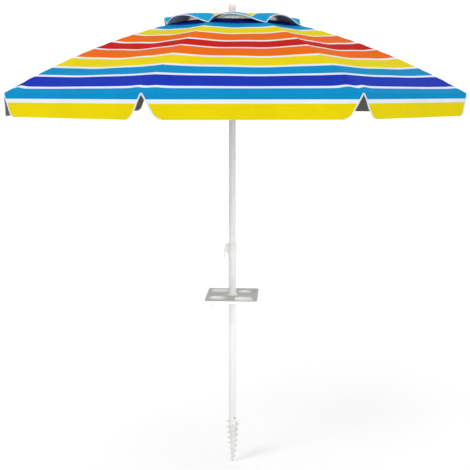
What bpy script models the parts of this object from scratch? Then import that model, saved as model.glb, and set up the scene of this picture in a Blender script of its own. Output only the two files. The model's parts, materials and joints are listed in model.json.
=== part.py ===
"""Beach umbrella: two-section pole, eight-rib vented canopy, flip-lock, clip-on tray, sand anchor.

Metres, +Z up.  The origin is on the pole's axis at the sand line, the top of the anchor's screw.
Each rib hangs on a wire ring in the hub and carries its own share of the cloth, from the middle
of one gore to the middle of the next, because every rib turns on its own pivot.
"""
import math

import bmesh
import bpy
import numpy as np
from mathutils import Matrix

# Clearances between pieces
FIT = 0.00032
RUNNING_FIT = 0.0004
EYE_FIT = 0.0006

# Edge breaks of the moulded pieces, and how far a cut runs past a face
EDGE = 0.001
CHAMFER = 0.002
CUT_OVER = 0.010

# Sides of the round pieces
POLE_SIDES = 24
HUB_SIDES = 24
CUP_SIDES = 20
ANCHOR_SIDES = 16
SMALL_SIDES = 8

# Poles
LOWER_POLE_RADIUS = 0.0165
LOWER_POLE_WALL = 0.0010
LOWER_POLE_TOP = 0.797
UPPER_POLE_RADIUS = 0.0150
UPPER_POLE_WALL = 0.0010
UPPER_POLE_INSERT = 0.260
BUSH_WALL = 0.0025
BUSH_PLUG = 0.020
BUSH_FLANGE = 0.008

# Hub at the top of the upper pole
HUB_PIVOT_Z = 1.806
PIVOT_RADIUS = 0.030
HUB_RADIUS = 0.035
HUB_HALF_HEIGHT = 0.007
HUB_SLEEVE = 0.019
HUB_SLEEVE_WALL = 0.004
HUB_PLATE = 0.004
RING_WIRE = 0.0013

# Ribs: a shallow parabola, drop = slope * run + bow * run squared; the bend is what the bow adds at the tip
RIB_COUNT = 8
RIB_TURN = math.radians(30.0)
RIB_RUN = 0.952
RIB_SLOPE = 0.132
RIB_BEND = 0.205
RIB_BOW = RIB_BEND / RIB_RUN**2
RIB_HEIGHT = 0.0050
RIB_THICKNESS = 0.0040
RIB_EYE = 0.0042
RIB_POINTS = 10

# Rib tip caps
TIP_RADIUS = 0.0046
TIP_NOSE = 0.009
TIP_SOCKET = 0.018

# Brackets under the ribs, and the stretchers that push them up
BRACKET_STATION = 4
BRACKET_LENGTH = 0.014
BRACKET_CHEEK = 0.0016
BRACKET_WEB = 0.0015
BRACKET_DROP = 0.010
BRACKET_LIP = 0.0010
STRETCHER_PIN = 0.0015
STRETCHER_HEIGHT = 0.0052
STRETCHER_EYE = 0.0036
STRETCHER_TEE = 0.011
EYE_MOUTH = math.radians(40.0)

# Runner on the upper pole
RUNNER_SLEEVE = 0.045
RUNNER_WALL = 0.0030
RUNNER_CROWN_RADIUS = 0.036
RUNNER_CROWN_TOP = 0.006
RUNNER_CROWN_BOTTOM = 0.004
RUNNER_NECK = 0.008
RUNNER_GRIP = 0.0025
SLOT_DEPTH_MARGIN = 0.0013

# Spring catch that holds the runner up
CATCH_STRIP = 0.0010
CATCH_WIDTH = 0.006
CATCH_REACH = 0.0048
CATCH_NOSE = 0.014
CATCH_LEG = 0.085

# Canopy cloth
CLOTH = 0.0008
VENT_RADIUS = 0.205
RIM_MARGIN = 0.002
CLOTH_SAG = 0.012
VALANCE = 0.090
VALANCE_FLARE = 0.006
NOTCH_TAPER = 0.049
NOTCH_CORNER = 0.018
GORE_COLUMNS = 3
VALANCE_ROWS = 3

# Vent cover over the hub
COVER_RADIUS = 0.305
COVER_ARCH = 0.042
COVER_BULGE = 0.010
COVER_ROWS = 4
COVER_COLUMNS = 4

# Finial
FINIAL_RADIUS = 0.0165
FINIAL_HEIGHT = 0.037
FINIAL_LIP = 0.0030
FINIAL_STUD = 0.0050
FINIAL_STUD_LENGTH = 0.010

# Flip-lock at the junction of the poles
COLLAR_HEIGHT = 0.059
COLLAR_ABOVE_POLE = 0.021
COLLAR_WALL = 0.0020
COLLAR_STEP = 0.0022
COLLAR_LIP = 0.006
CHEEK_SPREAD = 0.0072
CHEEK_THICKNESS = 0.0030
CHEEK_NOSE = 0.0035
CHEEK_DROP = 0.020
LEVER_PIVOT_OUT = 0.0075
LEVER_PIVOT_RISE = 0.009
LEVER_PIN_RADIUS = 0.0020
LEVER_REACH = 0.0150
LEVER_DROP = 0.059
LEVER_ARM = 0.0050
LEVER_BLOCK_DROP = 0.031
LEVER_GAP = 0.0016
CAM_NOSE = 0.0060

# Snack tray on the lower pole
TRAY_BELOW_POLE_TOP = 0.214
TRAY_WIDTH = 0.230
TRAY_LENGTH = 0.287
TRAY_CORNER = 0.016
TRAY_WALL = 0.0025
TRAY_SKIRT = 0.010
CUP_X = 0.062
CUP_Y = 0.070
CUP_RADIUS = 0.0365
CUP_DEPTH = 0.034
CUP_TAPER = 0.90
CUP_ROUND = 0.006
BIN_X = 0.055
BIN_Y = 0.088
BIN_WIDTH = 0.080
BIN_LENGTH = 0.080
BIN_CORNER = 0.014
BIN_DEPTH = 0.018
TRAY_BOSS_WALL = 0.0030
TRAY_BOSS_DROP = 0.022
COLLET_WALL = 0.0020
COLLET_ABOVE = 0.029
COLLET_FLANGE = 0.0045
COLLET_FLANGE_HEIGHT = 0.005
COLLET_SLIT = 0.0020

# Sand anchor
ANCHOR_LENGTH = 0.201
ANCHOR_POINT = 0.0040
ANCHOR_SPIGOT = 0.060
ANCHOR_COLLAR = 0.012
FLIGHT_PITCH = 0.0254
FLIGHT_TURNS = 7.6
FLIGHT_TOP_RADIUS = 0.0325
FLIGHT_END_RADIUS = 0.0140
FLIGHT_ROOT = 0.0042
FLIGHT_EDGE = 0.0020
FLIGHT_STEPS = 12
FLIGHT_LEAD = 0.35
FLIGHT_EMBED = 0.6
SCREW_Z = 0.012
SCREW_RADIUS = 0.0021
SCREW_HEAD = 0.0033
SCREW_HEAD_HEIGHT = 0.0016
SCREW_LENGTH = 0.009
SCREW_TURN = math.radians(-52.0)

# Sizes that follow from those above
STEP_ANGLE = 2.0 * math.pi / RIB_COUNT
HALF_GORE = STEP_ANGLE / 2.0
HALF_RIB = RIB_HEIGHT / 2.0
SLOT_WIDTH = RIB_THICKNESS + 2.0 * RUNNING_FIT
SLOT_INNER = PIVOT_RADIUS - RIB_EYE - SLOT_DEPTH_MARGIN
RIB_STATIONS = np.linspace(0.0, RIB_RUN, RIB_POINTS + 1)
BRACKET_RUN = float(RIB_STATIONS[BRACKET_STATION])
RIM_RADIUS = PIVOT_RADIUS + RIB_RUN + TIP_NOSE + RIM_MARGIN
LOWER_BORE = LOWER_POLE_RADIUS - LOWER_POLE_WALL
UPPER_BORE = UPPER_POLE_RADIUS - UPPER_POLE_WALL
UPPER_POLE_TOP = HUB_PIVOT_Z + HUB_HALF_HEIGHT
UPPER_POLE_BOTTOM = LOWER_POLE_TOP - UPPER_POLE_INSERT
TRAY_Z = LOWER_POLE_TOP - TRAY_BELOW_POLE_TOP
HUB_TOP = HUB_HALF_HEIGHT + FIT + HUB_PLATE
HUB_NECK = UPPER_POLE_RADIUS + FIT + HUB_SLEEVE_WALL
COLLAR_RADIUS = LOWER_POLE_RADIUS + FIT + COLLAR_WALL
COLLAR_TOP = LOWER_POLE_TOP + COLLAR_ABOVE_POLE
COLLET_BORE = LOWER_POLE_RADIUS + RUNNING_FIT
COLLET_RADIUS = COLLET_BORE + COLLET_WALL


def rib_drop(run):
    """Depth of a rib's centre line below its pivot at a distance out from it."""
    return RIB_SLOPE * run + RIB_BOW * run * run


def rib_angle(run):
    """Downward angle of the rib at a distance out from its pivot."""
    return math.atan(RIB_SLOPE + 2.0 * RIB_BOW * run)


def bracket_pivot():
    """The stretcher's pin in the rib's own plane, as (run, height) from the hub pivot."""
    angle = rib_angle(BRACKET_RUN)
    run = BRACKET_RUN - BRACKET_DROP * math.sin(angle)
    return run, -rib_drop(BRACKET_RUN) - BRACKET_DROP * math.cos(angle)


BRACKET_PIN_RUN, BRACKET_PIN_HEIGHT = bracket_pivot()
STRETCHER_LENGTH = math.hypot(BRACKET_PIN_RUN, BRACKET_PIN_HEIGHT)
RUNNER_PIVOT_Z = HUB_PIVOT_Z + 2.0 * BRACKET_PIN_HEIGHT
RUNNER_BOTTOM = RUNNER_PIVOT_Z - RUNNER_SLEEVE
RUNNER_BORE = UPPER_POLE_RADIUS + RUNNING_FIT


def clear_scene():
    """Take out whatever the file holds before the model is built."""
    for obj in list(bpy.data.objects):
        bpy.data.objects.remove(obj, do_unlink=True)


clear_scene()
PARTS = bpy.data.collections.new("beach_umbrella")
CUTTERS = bpy.data.collections.new("cutters")
bpy.context.scene.collection.children.link(PARTS)
bpy.context.scene.collection.children.link(CUTTERS)


def finish(name, colour, roughness, metallic=0.0):
    """A Principled material for one sub-part."""
    made = bpy.data.materials.new(name)
    made.use_nodes = True
    shader = made.node_tree.nodes["Principled BSDF"]
    shader.inputs["Base Color"].default_value = (*colour, 1.0)
    shader.inputs["Roughness"].default_value = roughness
    shader.inputs["Metallic"].default_value = metallic
    return made


WHITE_PAINT = finish("white_painted_steel", (0.80, 0.80, 0.80), 0.35)
UPPER_PAINT = finish("white_painted_upper_tube", (0.82, 0.82, 0.83), 0.32)
WHITE_PLASTIC = finish("white_moulded_plastic", (0.78, 0.78, 0.77), 0.45)
TRAY_PLASTIC = finish("pale_grey_moulded_plastic", (0.66, 0.65, 0.63), 0.50)
COLLAR_PLASTIC = finish("white_collar_plastic", (0.76, 0.76, 0.76), 0.42)
LEVER_PLASTIC = finish("white_lever_plastic", (0.75, 0.75, 0.76), 0.40)
RUNNER_PLASTIC = finish("white_runner_plastic", (0.74, 0.74, 0.74), 0.45)
HUB_PLASTIC = finish("white_hub_plastic", (0.72, 0.72, 0.72), 0.48)
TIP_PLASTIC = finish("white_tip_plastic", (0.77, 0.77, 0.77), 0.45)
BRACKET_PLASTIC = finish("grey_bracket_plastic", (0.55, 0.55, 0.56), 0.50)
RIB_STEEL = finish("grey_painted_rib_steel", (0.52, 0.53, 0.55), 0.40, 0.6)
WIRE_STEEL = finish("bright_wire_steel", (0.60, 0.60, 0.60), 0.25, 1.0)
SPRING_STEEL = finish("spring_steel", (0.50, 0.50, 0.52), 0.30, 1.0)
SCREW_STEEL = finish("dark_screw_steel", (0.10, 0.10, 0.11), 0.45, 1.0)
ANCHOR_PLASTIC = finish("white_anchor_plastic", (0.77, 0.77, 0.76), 0.46)
CANOPY_CLOTH = finish("striped_polyester", (0.85, 0.45, 0.08), 0.85)
COVER_CLOTH = finish("striped_cover_polyester", (0.02, 0.28, 0.60), 0.85)
BUSH_PLASTIC = finish("guide_bush_plastic", (0.20, 0.20, 0.21), 0.50)


def pivot_empty(name, place, turn=0.0, parent=None):
    """An empty on a joint's axis, which carries the pieces that move about it."""
    empty = bpy.data.objects.new(name, None)
    empty.empty_display_size = 0.02
    empty.location = place
    empty.rotation_euler = (0.0, 0.0, turn)
    empty.parent = parent
    PARTS.objects.link(empty)
    return empty


def place_part(name, mesh, material, parent=None, matrix=None):
    """One named sub-part from a mesh, with its own material."""
    mesh.materials.clear()
    mesh.materials.append(material)
    mesh.shade_smooth()
    mesh.set_sharp_from_angle(angle=math.radians(35.0))
    part = bpy.data.objects.new(name, mesh)
    PARTS.objects.link(part)
    part.parent = parent
    part.matrix_local = matrix if matrix is not None else Matrix.Identity(4)
    return part


def work_object(name, mesh):
    """A helper solid in the cutters' collection."""
    helper = bpy.data.objects.new(name, mesh)
    helper.hide_render = True
    helper.display_type = "WIRE"
    CUTTERS.objects.link(helper)
    return helper


def baked(obj):
    """The mesh of an object with its modifiers, welded, and the object taken out."""
    depsgraph = bpy.context.evaluated_depsgraph_get()
    mesh = bpy.data.meshes.new_from_object(obj.evaluated_get(depsgraph))
    work = bmesh.new()
    work.from_mesh(mesh)
    bmesh.ops.remove_doubles(work, verts=work.verts, dist=1e-6)
    work.to_mesh(mesh)
    work.free()
    bpy.data.objects.remove(obj, do_unlink=True)
    return mesh


def turned(profile, sides):
    """A mesh turned about Z from (radius, height) points, its outer side given from top to bottom."""
    mesh = bpy.data.meshes.new("turned")
    points = [(radius, 0.0, height) for radius, height in profile]
    closed = profile[0][0] > 0.0 or profile[-1][0] > 0.0
    edges = [(i, i + 1) for i in range(len(points) - 1)]
    if closed:
        edges.append((len(points) - 1, 0))
    mesh.from_pydata(points, edges, [])
    obj = work_object("turned", mesh)
    screw = obj.modifiers.new("turn", "SCREW")
    screw.steps = sides
    screw.render_steps = sides
    screw.use_merge_vertices = True
    screw.merge_threshold = 1e-6
    return baked(obj)


def tube(outer, inner, bottom, top, sides=POLE_SIDES):
    """A straight tube about Z."""
    return turned([(outer, top), (outer, bottom), (inner, bottom), (inner, top)], sides)


def extruded(loops, thickness):
    """A flat outline in the XZ plane, with any holes, given a thickness along Y."""
    curve = bpy.data.curves.new("outline", "CURVE")
    curve.dimensions = "2D"
    curve.fill_mode = "BOTH"
    curve.extrude = thickness / 2.0
    for loop in loops:
        spline = curve.splines.new("POLY")
        spline.points.add(len(loop) - 1)
        for point, (x, z) in zip(spline.points, loop):
            point.co = (x, z, 0.0, 1.0)
        spline.use_cyclic_u = True
    mesh = baked(work_object("outline", curve))
    mesh.transform(Matrix.Rotation(math.pi / 2.0, 4, "X"))
    return mesh


def cylinder(radius, length, sides=SMALL_SIDES):
    """A cylinder along Y, centred on the origin."""
    mesh = bpy.data.meshes.new("cylinder")
    work = bmesh.new()
    bmesh.ops.create_cone(work, cap_ends=True, segments=sides, radius1=radius, radius2=radius,
                          depth=length)
    work.to_mesh(mesh)
    work.free()
    mesh.transform(Matrix.Rotation(math.pi / 2.0, 4, "X"))
    return mesh


def block(size, centre):
    """A box of the given size about a centre."""
    mesh = bpy.data.meshes.new("block")
    work = bmesh.new()
    bmesh.ops.create_cube(work, size=1.0)
    work.to_mesh(mesh)
    work.free()
    mesh.transform(Matrix.Translation(centre) @ Matrix.Diagonal((*size, 1.0)))
    return mesh


def combined(base, others, operation):
    """A mesh with each of the others cut from it or joined to it, one after another."""
    obj = work_object("work", base)
    tools = []
    for mesh in others:
        tool = work_object("tool", mesh)
        change = obj.modifiers.new("change", "BOOLEAN")
        change.operation = operation
        change.solver = "EXACT"
        change.object = tool
        tools.append(tool)
    made = baked(obj)
    for tool in tools:
        bpy.data.objects.remove(tool, do_unlink=True)
    return made


def arc(centre, radius, start, end, steps):
    """Points along an arc, both ends included."""
    angles = np.linspace(start, end, steps)
    return [(centre[0] + radius * math.cos(a), centre[1] + radius * math.sin(a)) for a in angles]


def round_box(width, length, corner, steps=3):
    """A rectangle with rounded corners, centred on the origin."""
    outline = []
    for k, (sx, sy) in enumerate(((1, 1), (-1, 1), (-1, -1), (1, -1))):
        centre = (sx * (width / 2.0 - corner), sy * (length / 2.0 - corner))
        outline += arc(centre, corner, k * math.pi / 2.0, (k + 1) * math.pi / 2.0, steps)
    return outline


def plate(outline, bottom, top):
    """A flat outline in the XY plane made into a plate between two heights."""
    mesh = extruded([outline], top - bottom)
    mesh.transform(Matrix.Rotation(-math.pi / 2.0, 4, "X"))
    mesh.transform(Matrix.Translation((0.0, 0.0, (top + bottom) / 2.0)))
    return mesh


def radial_slots(count, width, inner, outer, bottom, top, turn):
    """Boxes that cut slots from an inner radius outwards, one for each rib."""
    slots = []
    for k in range(count):
        slot = block((outer - inner, width, top - bottom), ((outer + inner) / 2.0, 0.0, (top + bottom) / 2.0))
        slot.transform(Matrix.Rotation(turn + k * 2.0 * math.pi / count, 4, "Z"))
        slots.append(slot)
    return slots


def moved(mesh, matrix):
    """The mesh with a matrix applied to its points."""
    mesh.transform(matrix)
    return mesh


def make_lower_pole():
    """The lower tube, with the hole for the anchor's screw."""
    body = tube(LOWER_POLE_RADIUS, LOWER_BORE, FIT, LOWER_POLE_TOP)
    hole = screw_hole(CUT_OVER)
    return place_part("lower_pole", combined(body, [hole], "DIFFERENCE"), WHITE_PAINT)


def screw_hole(length):
    """The cutter for the anchor's screw, centred on the lower tube's outer face."""
    hole = cylinder(SCREW_RADIUS + FIT, length)
    place = (LOWER_POLE_RADIUS * math.cos(SCREW_TURN), LOWER_POLE_RADIUS * math.sin(SCREW_TURN), SCREW_Z)
    return moved(hole, Matrix.Translation(place) @ Matrix.Rotation(SCREW_TURN + math.pi / 2.0, 4, "Z"))


def make_sand_anchor():
    """The screw anchor: spigot in the pole, tapered core and one tapering helical flight."""
    spigot = LOWER_BORE - FIT
    shoulder = LOWER_POLE_RADIUS
    core = turned([
        (0.0, ANCHOR_SPIGOT),
        (spigot - CHAMFER, ANCHOR_SPIGOT),
        (spigot, ANCHOR_SPIGOT - CHAMFER),
        (spigot, 0.0),
        (shoulder, 0.0),
        (shoulder, -ANCHOR_COLLAR),
        (ANCHOR_POINT, -ANCHOR_LENGTH + 2.0 * ANCHOR_POINT),
        (0.0, -ANCHOR_LENGTH),
    ], ANCHOR_SIDES)
    anchor = combined(core, [flight_mesh()], "UNION")
    mesh = combined(anchor, [screw_hole(2.0 * SCREW_LENGTH)], "DIFFERENCE")
    return place_part("sand_anchor", mesh, ANCHOR_PLASTIC)


def core_radius(depth):
    """Radius of the anchor's core at a depth below the sand line."""
    taper = ANCHOR_LENGTH - 2.0 * ANCHOR_POINT - ANCHOR_COLLAR
    share = np.clip((depth - ANCHOR_COLLAR) / taper, 0.0, 1.0)
    return LOWER_POLE_RADIUS + (ANCHOR_POINT - LOWER_POLE_RADIUS) * share


def flight_mesh():
    """The flight: a four-point section swept down a right-hand helix while its radius shrinks."""
    count = int(FLIGHT_TURNS * FLIGHT_STEPS) + 1
    turn = np.linspace(0.0, FLIGHT_TURNS, count)
    depth = 0.5 * FLIGHT_ROOT + CHAMFER + FLIGHT_PITCH * turn
    outer = FLIGHT_TOP_RADIUS + (FLIGHT_END_RADIUS - FLIGHT_TOP_RADIUS) * turn / FLIGHT_TURNS
    start_in = np.clip(turn / FLIGHT_LEAD, 0.0, 1.0)
    root = FLIGHT_EMBED * core_radius(depth)
    outer = np.maximum(core_radius(depth) + EDGE, outer * start_in + core_radius(depth) * (1.0 - start_in))
    angle = -math.pi / 2.0 - 2.0 * math.pi * turn
    section = ((root, 0.5 * FLIGHT_ROOT), (outer, 0.5 * FLIGHT_EDGE), (outer, -0.5 * FLIGHT_EDGE),
               (root, -0.5 * FLIGHT_ROOT))
    rings = [np.stack((r * np.cos(angle), r * np.sin(angle), h - depth), 1) for r, h in section]
    points = np.stack(rings, 1).reshape(-1, 3)
    faces = []
    for k in range(count - 1):
        a, b = 4 * k, 4 * (k + 1)
        faces += [(a + j, a + (j + 1) % 4, b + (j + 1) % 4, b + j) for j in range(4)]
    faces += [(3, 2, 1, 0), tuple(4 * (count - 1) + j for j in range(4))]
    mesh = bpy.data.meshes.new("flight")
    mesh.from_pydata(points.tolist(), [], faces)
    return outward(mesh)


def outward(mesh):
    """The mesh with its faces turned to point out."""
    work = bmesh.new()
    work.from_mesh(mesh)
    bmesh.ops.recalc_face_normals(work, faces=work.faces)
    work.to_mesh(mesh)
    work.free()
    return mesh


def make_anchor_screw():
    """The self-tapping screw that keeps the anchor in the pole."""
    seat = LOWER_POLE_RADIUS + FIT
    screw = turned([
        (0.0, seat + SCREW_HEAD_HEIGHT),
        (0.6 * SCREW_HEAD, seat + SCREW_HEAD_HEIGHT),
        (SCREW_HEAD, seat + 0.4 * SCREW_HEAD_HEIGHT),
        (SCREW_HEAD, seat),
        (SCREW_RADIUS, seat),
        (SCREW_RADIUS, seat - SCREW_LENGTH + SCREW_RADIUS),
        (0.0, seat - SCREW_LENGTH),
    ], SMALL_SIDES)
    outwards = Matrix.Rotation(SCREW_TURN, 4, "Z") @ Matrix.Rotation(math.pi / 2.0, 4, "Y")
    mesh = moved(screw, Matrix.Translation((0.0, 0.0, SCREW_Z)) @ outwards)
    return place_part("anchor_screw", mesh, SCREW_STEEL)


def make_upper_pole(carrier):
    """The upper tube, with the window for the runner's catch."""
    body = tube(UPPER_POLE_RADIUS, UPPER_BORE, UPPER_POLE_BOTTOM, UPPER_POLE_TOP)
    height = CATCH_NOSE + 3.0 * CHAMFER
    window = block((2.0 * CUT_OVER, CATCH_WIDTH + 2.0 * RUNNING_FIT, height),
                   (UPPER_POLE_RADIUS, 0.0, RUNNER_BOTTOM - RUNNING_FIT - height / 2.0 + CHAMFER))
    mesh = combined(body, [window], "DIFFERENCE")
    return place_part("upper_pole", moved(mesh, Matrix.Translation((0.0, 0.0, -LOWER_POLE_TOP))),
                      UPPER_PAINT, carrier)


def make_pole_bush(carrier):
    """The guide plug in the foot of the upper tube, which steadies it in the lower one."""
    plug = UPPER_BORE - FIT
    flange = LOWER_BORE - FIT
    foot = UPPER_POLE_BOTTOM - FIT - LOWER_POLE_TOP
    mesh = turned([
        (plug - BUSH_WALL, foot + BUSH_PLUG),
        (plug, foot + BUSH_PLUG - CHAMFER),
        (plug, foot),
        (flange, foot),
        (flange, foot - BUSH_FLANGE + CHAMFER),
        (flange - EDGE, foot - BUSH_FLANGE),
        (plug - BUSH_WALL, foot - BUSH_FLANGE),
    ], POLE_SIDES)
    return place_part("pole_bush", mesh, BUSH_PLASTIC, carrier)


def make_hub(carrier):
    """The notched hub: a disc with a slot for each rib and a groove for the wire ring."""
    bore = UPPER_POLE_RADIUS + FIT
    groove_inner = PIVOT_RADIUS - RING_WIRE - FIT
    groove_half = RING_WIRE + FIT
    stud_hole = FINIAL_STUD + FIT
    body = turned([
        (stud_hole, HUB_TOP),
        (HUB_NECK, HUB_TOP),
        (HUB_NECK, HUB_HALF_HEIGHT),
        (HUB_RADIUS - CHAMFER, HUB_HALF_HEIGHT),
        (HUB_RADIUS, HUB_HALF_HEIGHT - CHAMFER),
        (HUB_RADIUS, groove_half),
        (groove_inner, groove_half),
        (groove_inner, -groove_half),
        (HUB_RADIUS, -groove_half),
        (HUB_RADIUS, -HUB_HALF_HEIGHT),
        (HUB_NECK, -HUB_HALF_HEIGHT),
        (HUB_NECK, -HUB_HALF_HEIGHT - HUB_SLEEVE),
        (bore, -HUB_HALF_HEIGHT - HUB_SLEEVE),
        (bore, HUB_HALF_HEIGHT + FIT),
        (stud_hole, HUB_HALF_HEIGHT + FIT),
    ], HUB_SIDES)
    reach = 2.0 * HUB_HALF_HEIGHT
    slots = radial_slots(RIB_COUNT, SLOT_WIDTH, SLOT_INNER, 1.3 * HUB_RADIUS, -reach, reach, RIB_TURN)
    return place_part("hub", combined(body, slots, "DIFFERENCE"), HUB_PLASTIC, carrier)


def make_hub_ring(carrier):
    """The wire ring that every rib's eye turns on."""
    section = arc((PIVOT_RADIUS, 0.0), RING_WIRE, math.pi / 2.0, -3.0 * math.pi / 2.0, SMALL_SIDES - 1)[:-1]
    return place_part("hub_ring", turned(section, HUB_SIDES), WIRE_STEEL, carrier)


def make_finial(carrier):
    """The knob on top, whose stud holds the vent cover down on the hub."""
    base = HUB_TOP + CLOTH + 2.0 * FIT
    top = base + FINIAL_HEIGHT
    flange = FINIAL_RADIUS + FINIAL_LIP
    mesh = turned([
        (0.0, top),
        (0.55 * FINIAL_RADIUS, top - 0.03 * FINIAL_HEIGHT),
        (0.86 * FINIAL_RADIUS, top - 0.14 * FINIAL_HEIGHT),
        (FINIAL_RADIUS, top - 0.32 * FINIAL_HEIGHT),
        (FINIAL_RADIUS, base + 0.27 * FINIAL_HEIGHT),
        (0.86 * FINIAL_RADIUS, base + 0.14 * FINIAL_HEIGHT),
        (flange, base + FINIAL_LIP),
        (flange, base),
        (FINIAL_STUD, base),
        (FINIAL_STUD, base - FINIAL_STUD_LENGTH),
        (0.0, base - FINIAL_STUD_LENGTH),
    ], ANCHOR_SIDES)
    return place_part("finial", mesh, WHITE_PLASTIC, carrier)


def rib_mesh():
    """A rib in its own plane: a bowed strip with an eye at the hub."""
    root = -rib_angle(0.0)
    spread = math.asin(HALF_RIB / RIB_EYE)
    eye = arc((0.0, 0.0), RIB_EYE, root + spread, root + 2.0 * math.pi - spread, SMALL_SIDES)
    upper, lower = [], []
    for run in RIB_STATIONS[1:]:
        angle = rib_angle(run)
        nx, nz = HALF_RIB * math.sin(angle), HALF_RIB * math.cos(angle)
        upper.append((run + nx, -rib_drop(run) + nz))
        lower.append((run - nx, -rib_drop(run) - nz))
    hole = arc((0.0, 0.0), RING_WIRE + EYE_FIT, 0.0, 2.0 * math.pi, SMALL_SIDES + 1)[:-1]
    return extruded([eye + lower + upper[::-1], hole], RIB_THICKNESS)


def rib_frame(run):
    """A matrix at a point of the rib: X along it outwards, Y across, Z off its upper side."""
    angle = rib_angle(run)
    place = Matrix.Translation((run, 0.0, -rib_drop(run)))
    return place @ Matrix.Rotation(angle, 4, "Y")


def tip_mesh():
    """The cap on a rib's end, with a socket for the strip."""
    body = turned([
        (0.0, TIP_NOSE),
        (0.70 * TIP_RADIUS, 0.85 * TIP_NOSE),
        (TIP_RADIUS, 0.5 * TIP_NOSE),
        (TIP_RADIUS, -0.2 * TIP_SOCKET),
        (0.88 * TIP_RADIUS, -TIP_SOCKET),
        (0.0, -TIP_SOCKET),
    ], SMALL_SIDES)
    body.transform(Matrix.Rotation(math.pi / 2.0, 4, "Y"))
    socket = block((2.0 * TIP_SOCKET, RIB_THICKNESS + 2.0 * FIT, RIB_HEIGHT + 2.0 * FIT),
                   (FIT - TIP_SOCKET, 0.0, 0.0))
    return combined(body, [socket], "DIFFERENCE")


def bracket_mesh():
    """The clip on a rib: an H section whose upper fork grips the strip and lower fork holds a pin."""
    inner = RIB_THICKNESS / 2.0 + FIT
    outer = inner + BRACKET_CHEEK
    top = HALF_RIB - BRACKET_LIP
    web_top = -HALF_RIB - FIT
    web_bottom = web_top - BRACKET_WEB
    bottom = -BRACKET_DROP - STRETCHER_EYE
    half = [(outer, bottom), (outer, top), (inner, top), (inner, web_top)]
    outline = half + [(-x, z) for x, z in half[::-1]]
    outline += [(-inner, bottom), (-inner, web_bottom), (inner, web_bottom), (inner, bottom)]
    body = extruded([outline], BRACKET_LENGTH)
    body.transform(Matrix.Rotation(math.pi / 2.0, 4, "Z"))
    pin = cylinder(STRETCHER_PIN, 2.0 * inner + BRACKET_CHEEK)
    pin.transform(Matrix.Translation((0.0, 0.0, -BRACKET_DROP)))
    return combined(body, [pin], "UNION")


def stretcher_mesh():
    """A stretcher along +X from its snap eye on the rib's pin to the cross pin at the runner."""
    half = STRETCHER_HEIGHT / 2.0
    bore = STRETCHER_PIN + RUNNING_FIT
    end = (STRETCHER_LENGTH, 0.0)
    leave = math.asin(half / STRETCHER_EYE)
    mouth = math.pi - EYE_MOUTH
    outline = arc((0.0, 0.0), STRETCHER_EYE, leave, mouth, 4)
    outline += arc((0.0, 0.0), bore, mouth, -mouth, 7)
    outline += arc((0.0, 0.0), STRETCHER_EYE, 2.0 * math.pi - mouth, 2.0 * math.pi - leave, 4)
    outline += arc(end, STRETCHER_EYE, leave - math.pi, math.pi - leave, 6)
    body = extruded([outline], RIB_THICKNESS)
    tee = cylinder(STRETCHER_PIN, STRETCHER_TEE)
    tee.transform(Matrix.Translation((STRETCHER_LENGTH, 0.0, 0.0)))
    return combined(body, [tee], "UNION")


def cloth_offset(run):
    """Height of the cloth's underside above a rib's centre line: over the strip, then over the cap."""
    share = np.clip(run / RIB_RUN, 0.0, None)
    return (HALF_RIB + FIT) * (1.0 - share) + (TIP_RADIUS + EYE_FIT) * share


def cloth_height(radius):
    """Height of the cloth along a rib above the hub pivot, at a distance from the pole's axis."""
    run = radius - PIVOT_RADIUS
    slope = np.hypot(1.0, RIB_SLOPE + 2.0 * RIB_BOW * run)
    return -(RIB_SLOPE * run + RIB_BOW * run * run) + cloth_offset(run) * slope


def panel_mesh():
    """One rib's cloth, pivot at the origin: rows down the rib, then two half flaps below the rim.

    Across a gore the cloth runs straight from rib to rib in plan and sags by a parabola.
    """
    half_sine, half_cosine = math.sin(HALF_GORE), math.cos(HALF_GORE)
    across = np.linspace(-1.0, 1.0, 2 * GORE_COLUMNS + 1)
    over_ribs = PIVOT_RADIUS + RIB_STATIONS[1:-1]
    rows = np.concatenate(([VENT_RADIUS], over_ribs[over_ribs > VENT_RADIUS], [RIM_RADIUS]))
    last = len(rows) - 1
    share = np.abs(across)[None, :] * (1.0 - FIT / rows[:, None])
    radius = rows[:, None] + 0.0 * share
    dip = CLOTH_SAG * np.sin(math.pi * (radius - VENT_RADIUS) / (RIM_RADIUS - VENT_RADIUS))
    x = radius * (1.0 - share * half_sine**2)
    y = np.sign(across)[None, :] * radius * share * half_sine * half_cosine
    z = cloth_height(radius) - dip * (2.0 * share - share**2)
    grid = np.stack((x - PIVOT_RADIUS, y, z), 2)
    points = grid.reshape(-1, 3).tolist()
    wide = len(across)
    faces = []
    for r in range(last):
        for c in range(wide - 1):
            a = r * wide + c
            faces.append((a, a + wide, a + wide + 1, a + 1))
    side = RIM_RADIUS * half_sine
    edge_x, edge_z = RIM_RADIUS - PIVOT_RADIUS, float(cloth_height(np.float64(RIM_RADIUS)))
    depths = np.sin(np.linspace(0.0, math.pi / 2.0, VALANCE_ROWS + 1))[1:]
    for sign in (-1.0, 1.0):
        above = [last * wide + GORE_COLUMNS + int(sign) * k for k in range(GORE_COLUMNS + 1)]
        for depth in depths:
            notch = NOTCH_TAPER * depth + NOTCH_CORNER * (1.0 - math.sqrt(1.0 - depth**2))
            along = notch + (side - FIT - notch) * np.linspace(0.0, 1.0, GORE_COLUMNS + 1)
            lean = VALANCE_FLARE * depth
            ring = []
            for distance in along:
                ring.append(len(points))
                px = edge_x - distance * half_sine + lean * half_cosine
                py = sign * (distance * half_cosine + lean * half_sine)
                points.append((px, py, edge_z - VALANCE * depth))
            for k in range(GORE_COLUMNS):
                quad = (above[k], ring[k], ring[k + 1], above[k + 1])
                faces.append(quad if sign > 0 else quad[::-1])
            above = ring
    mesh = bpy.data.meshes.new("panel")
    mesh.from_pydata(points, [], faces)
    return shell(mesh)


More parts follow.
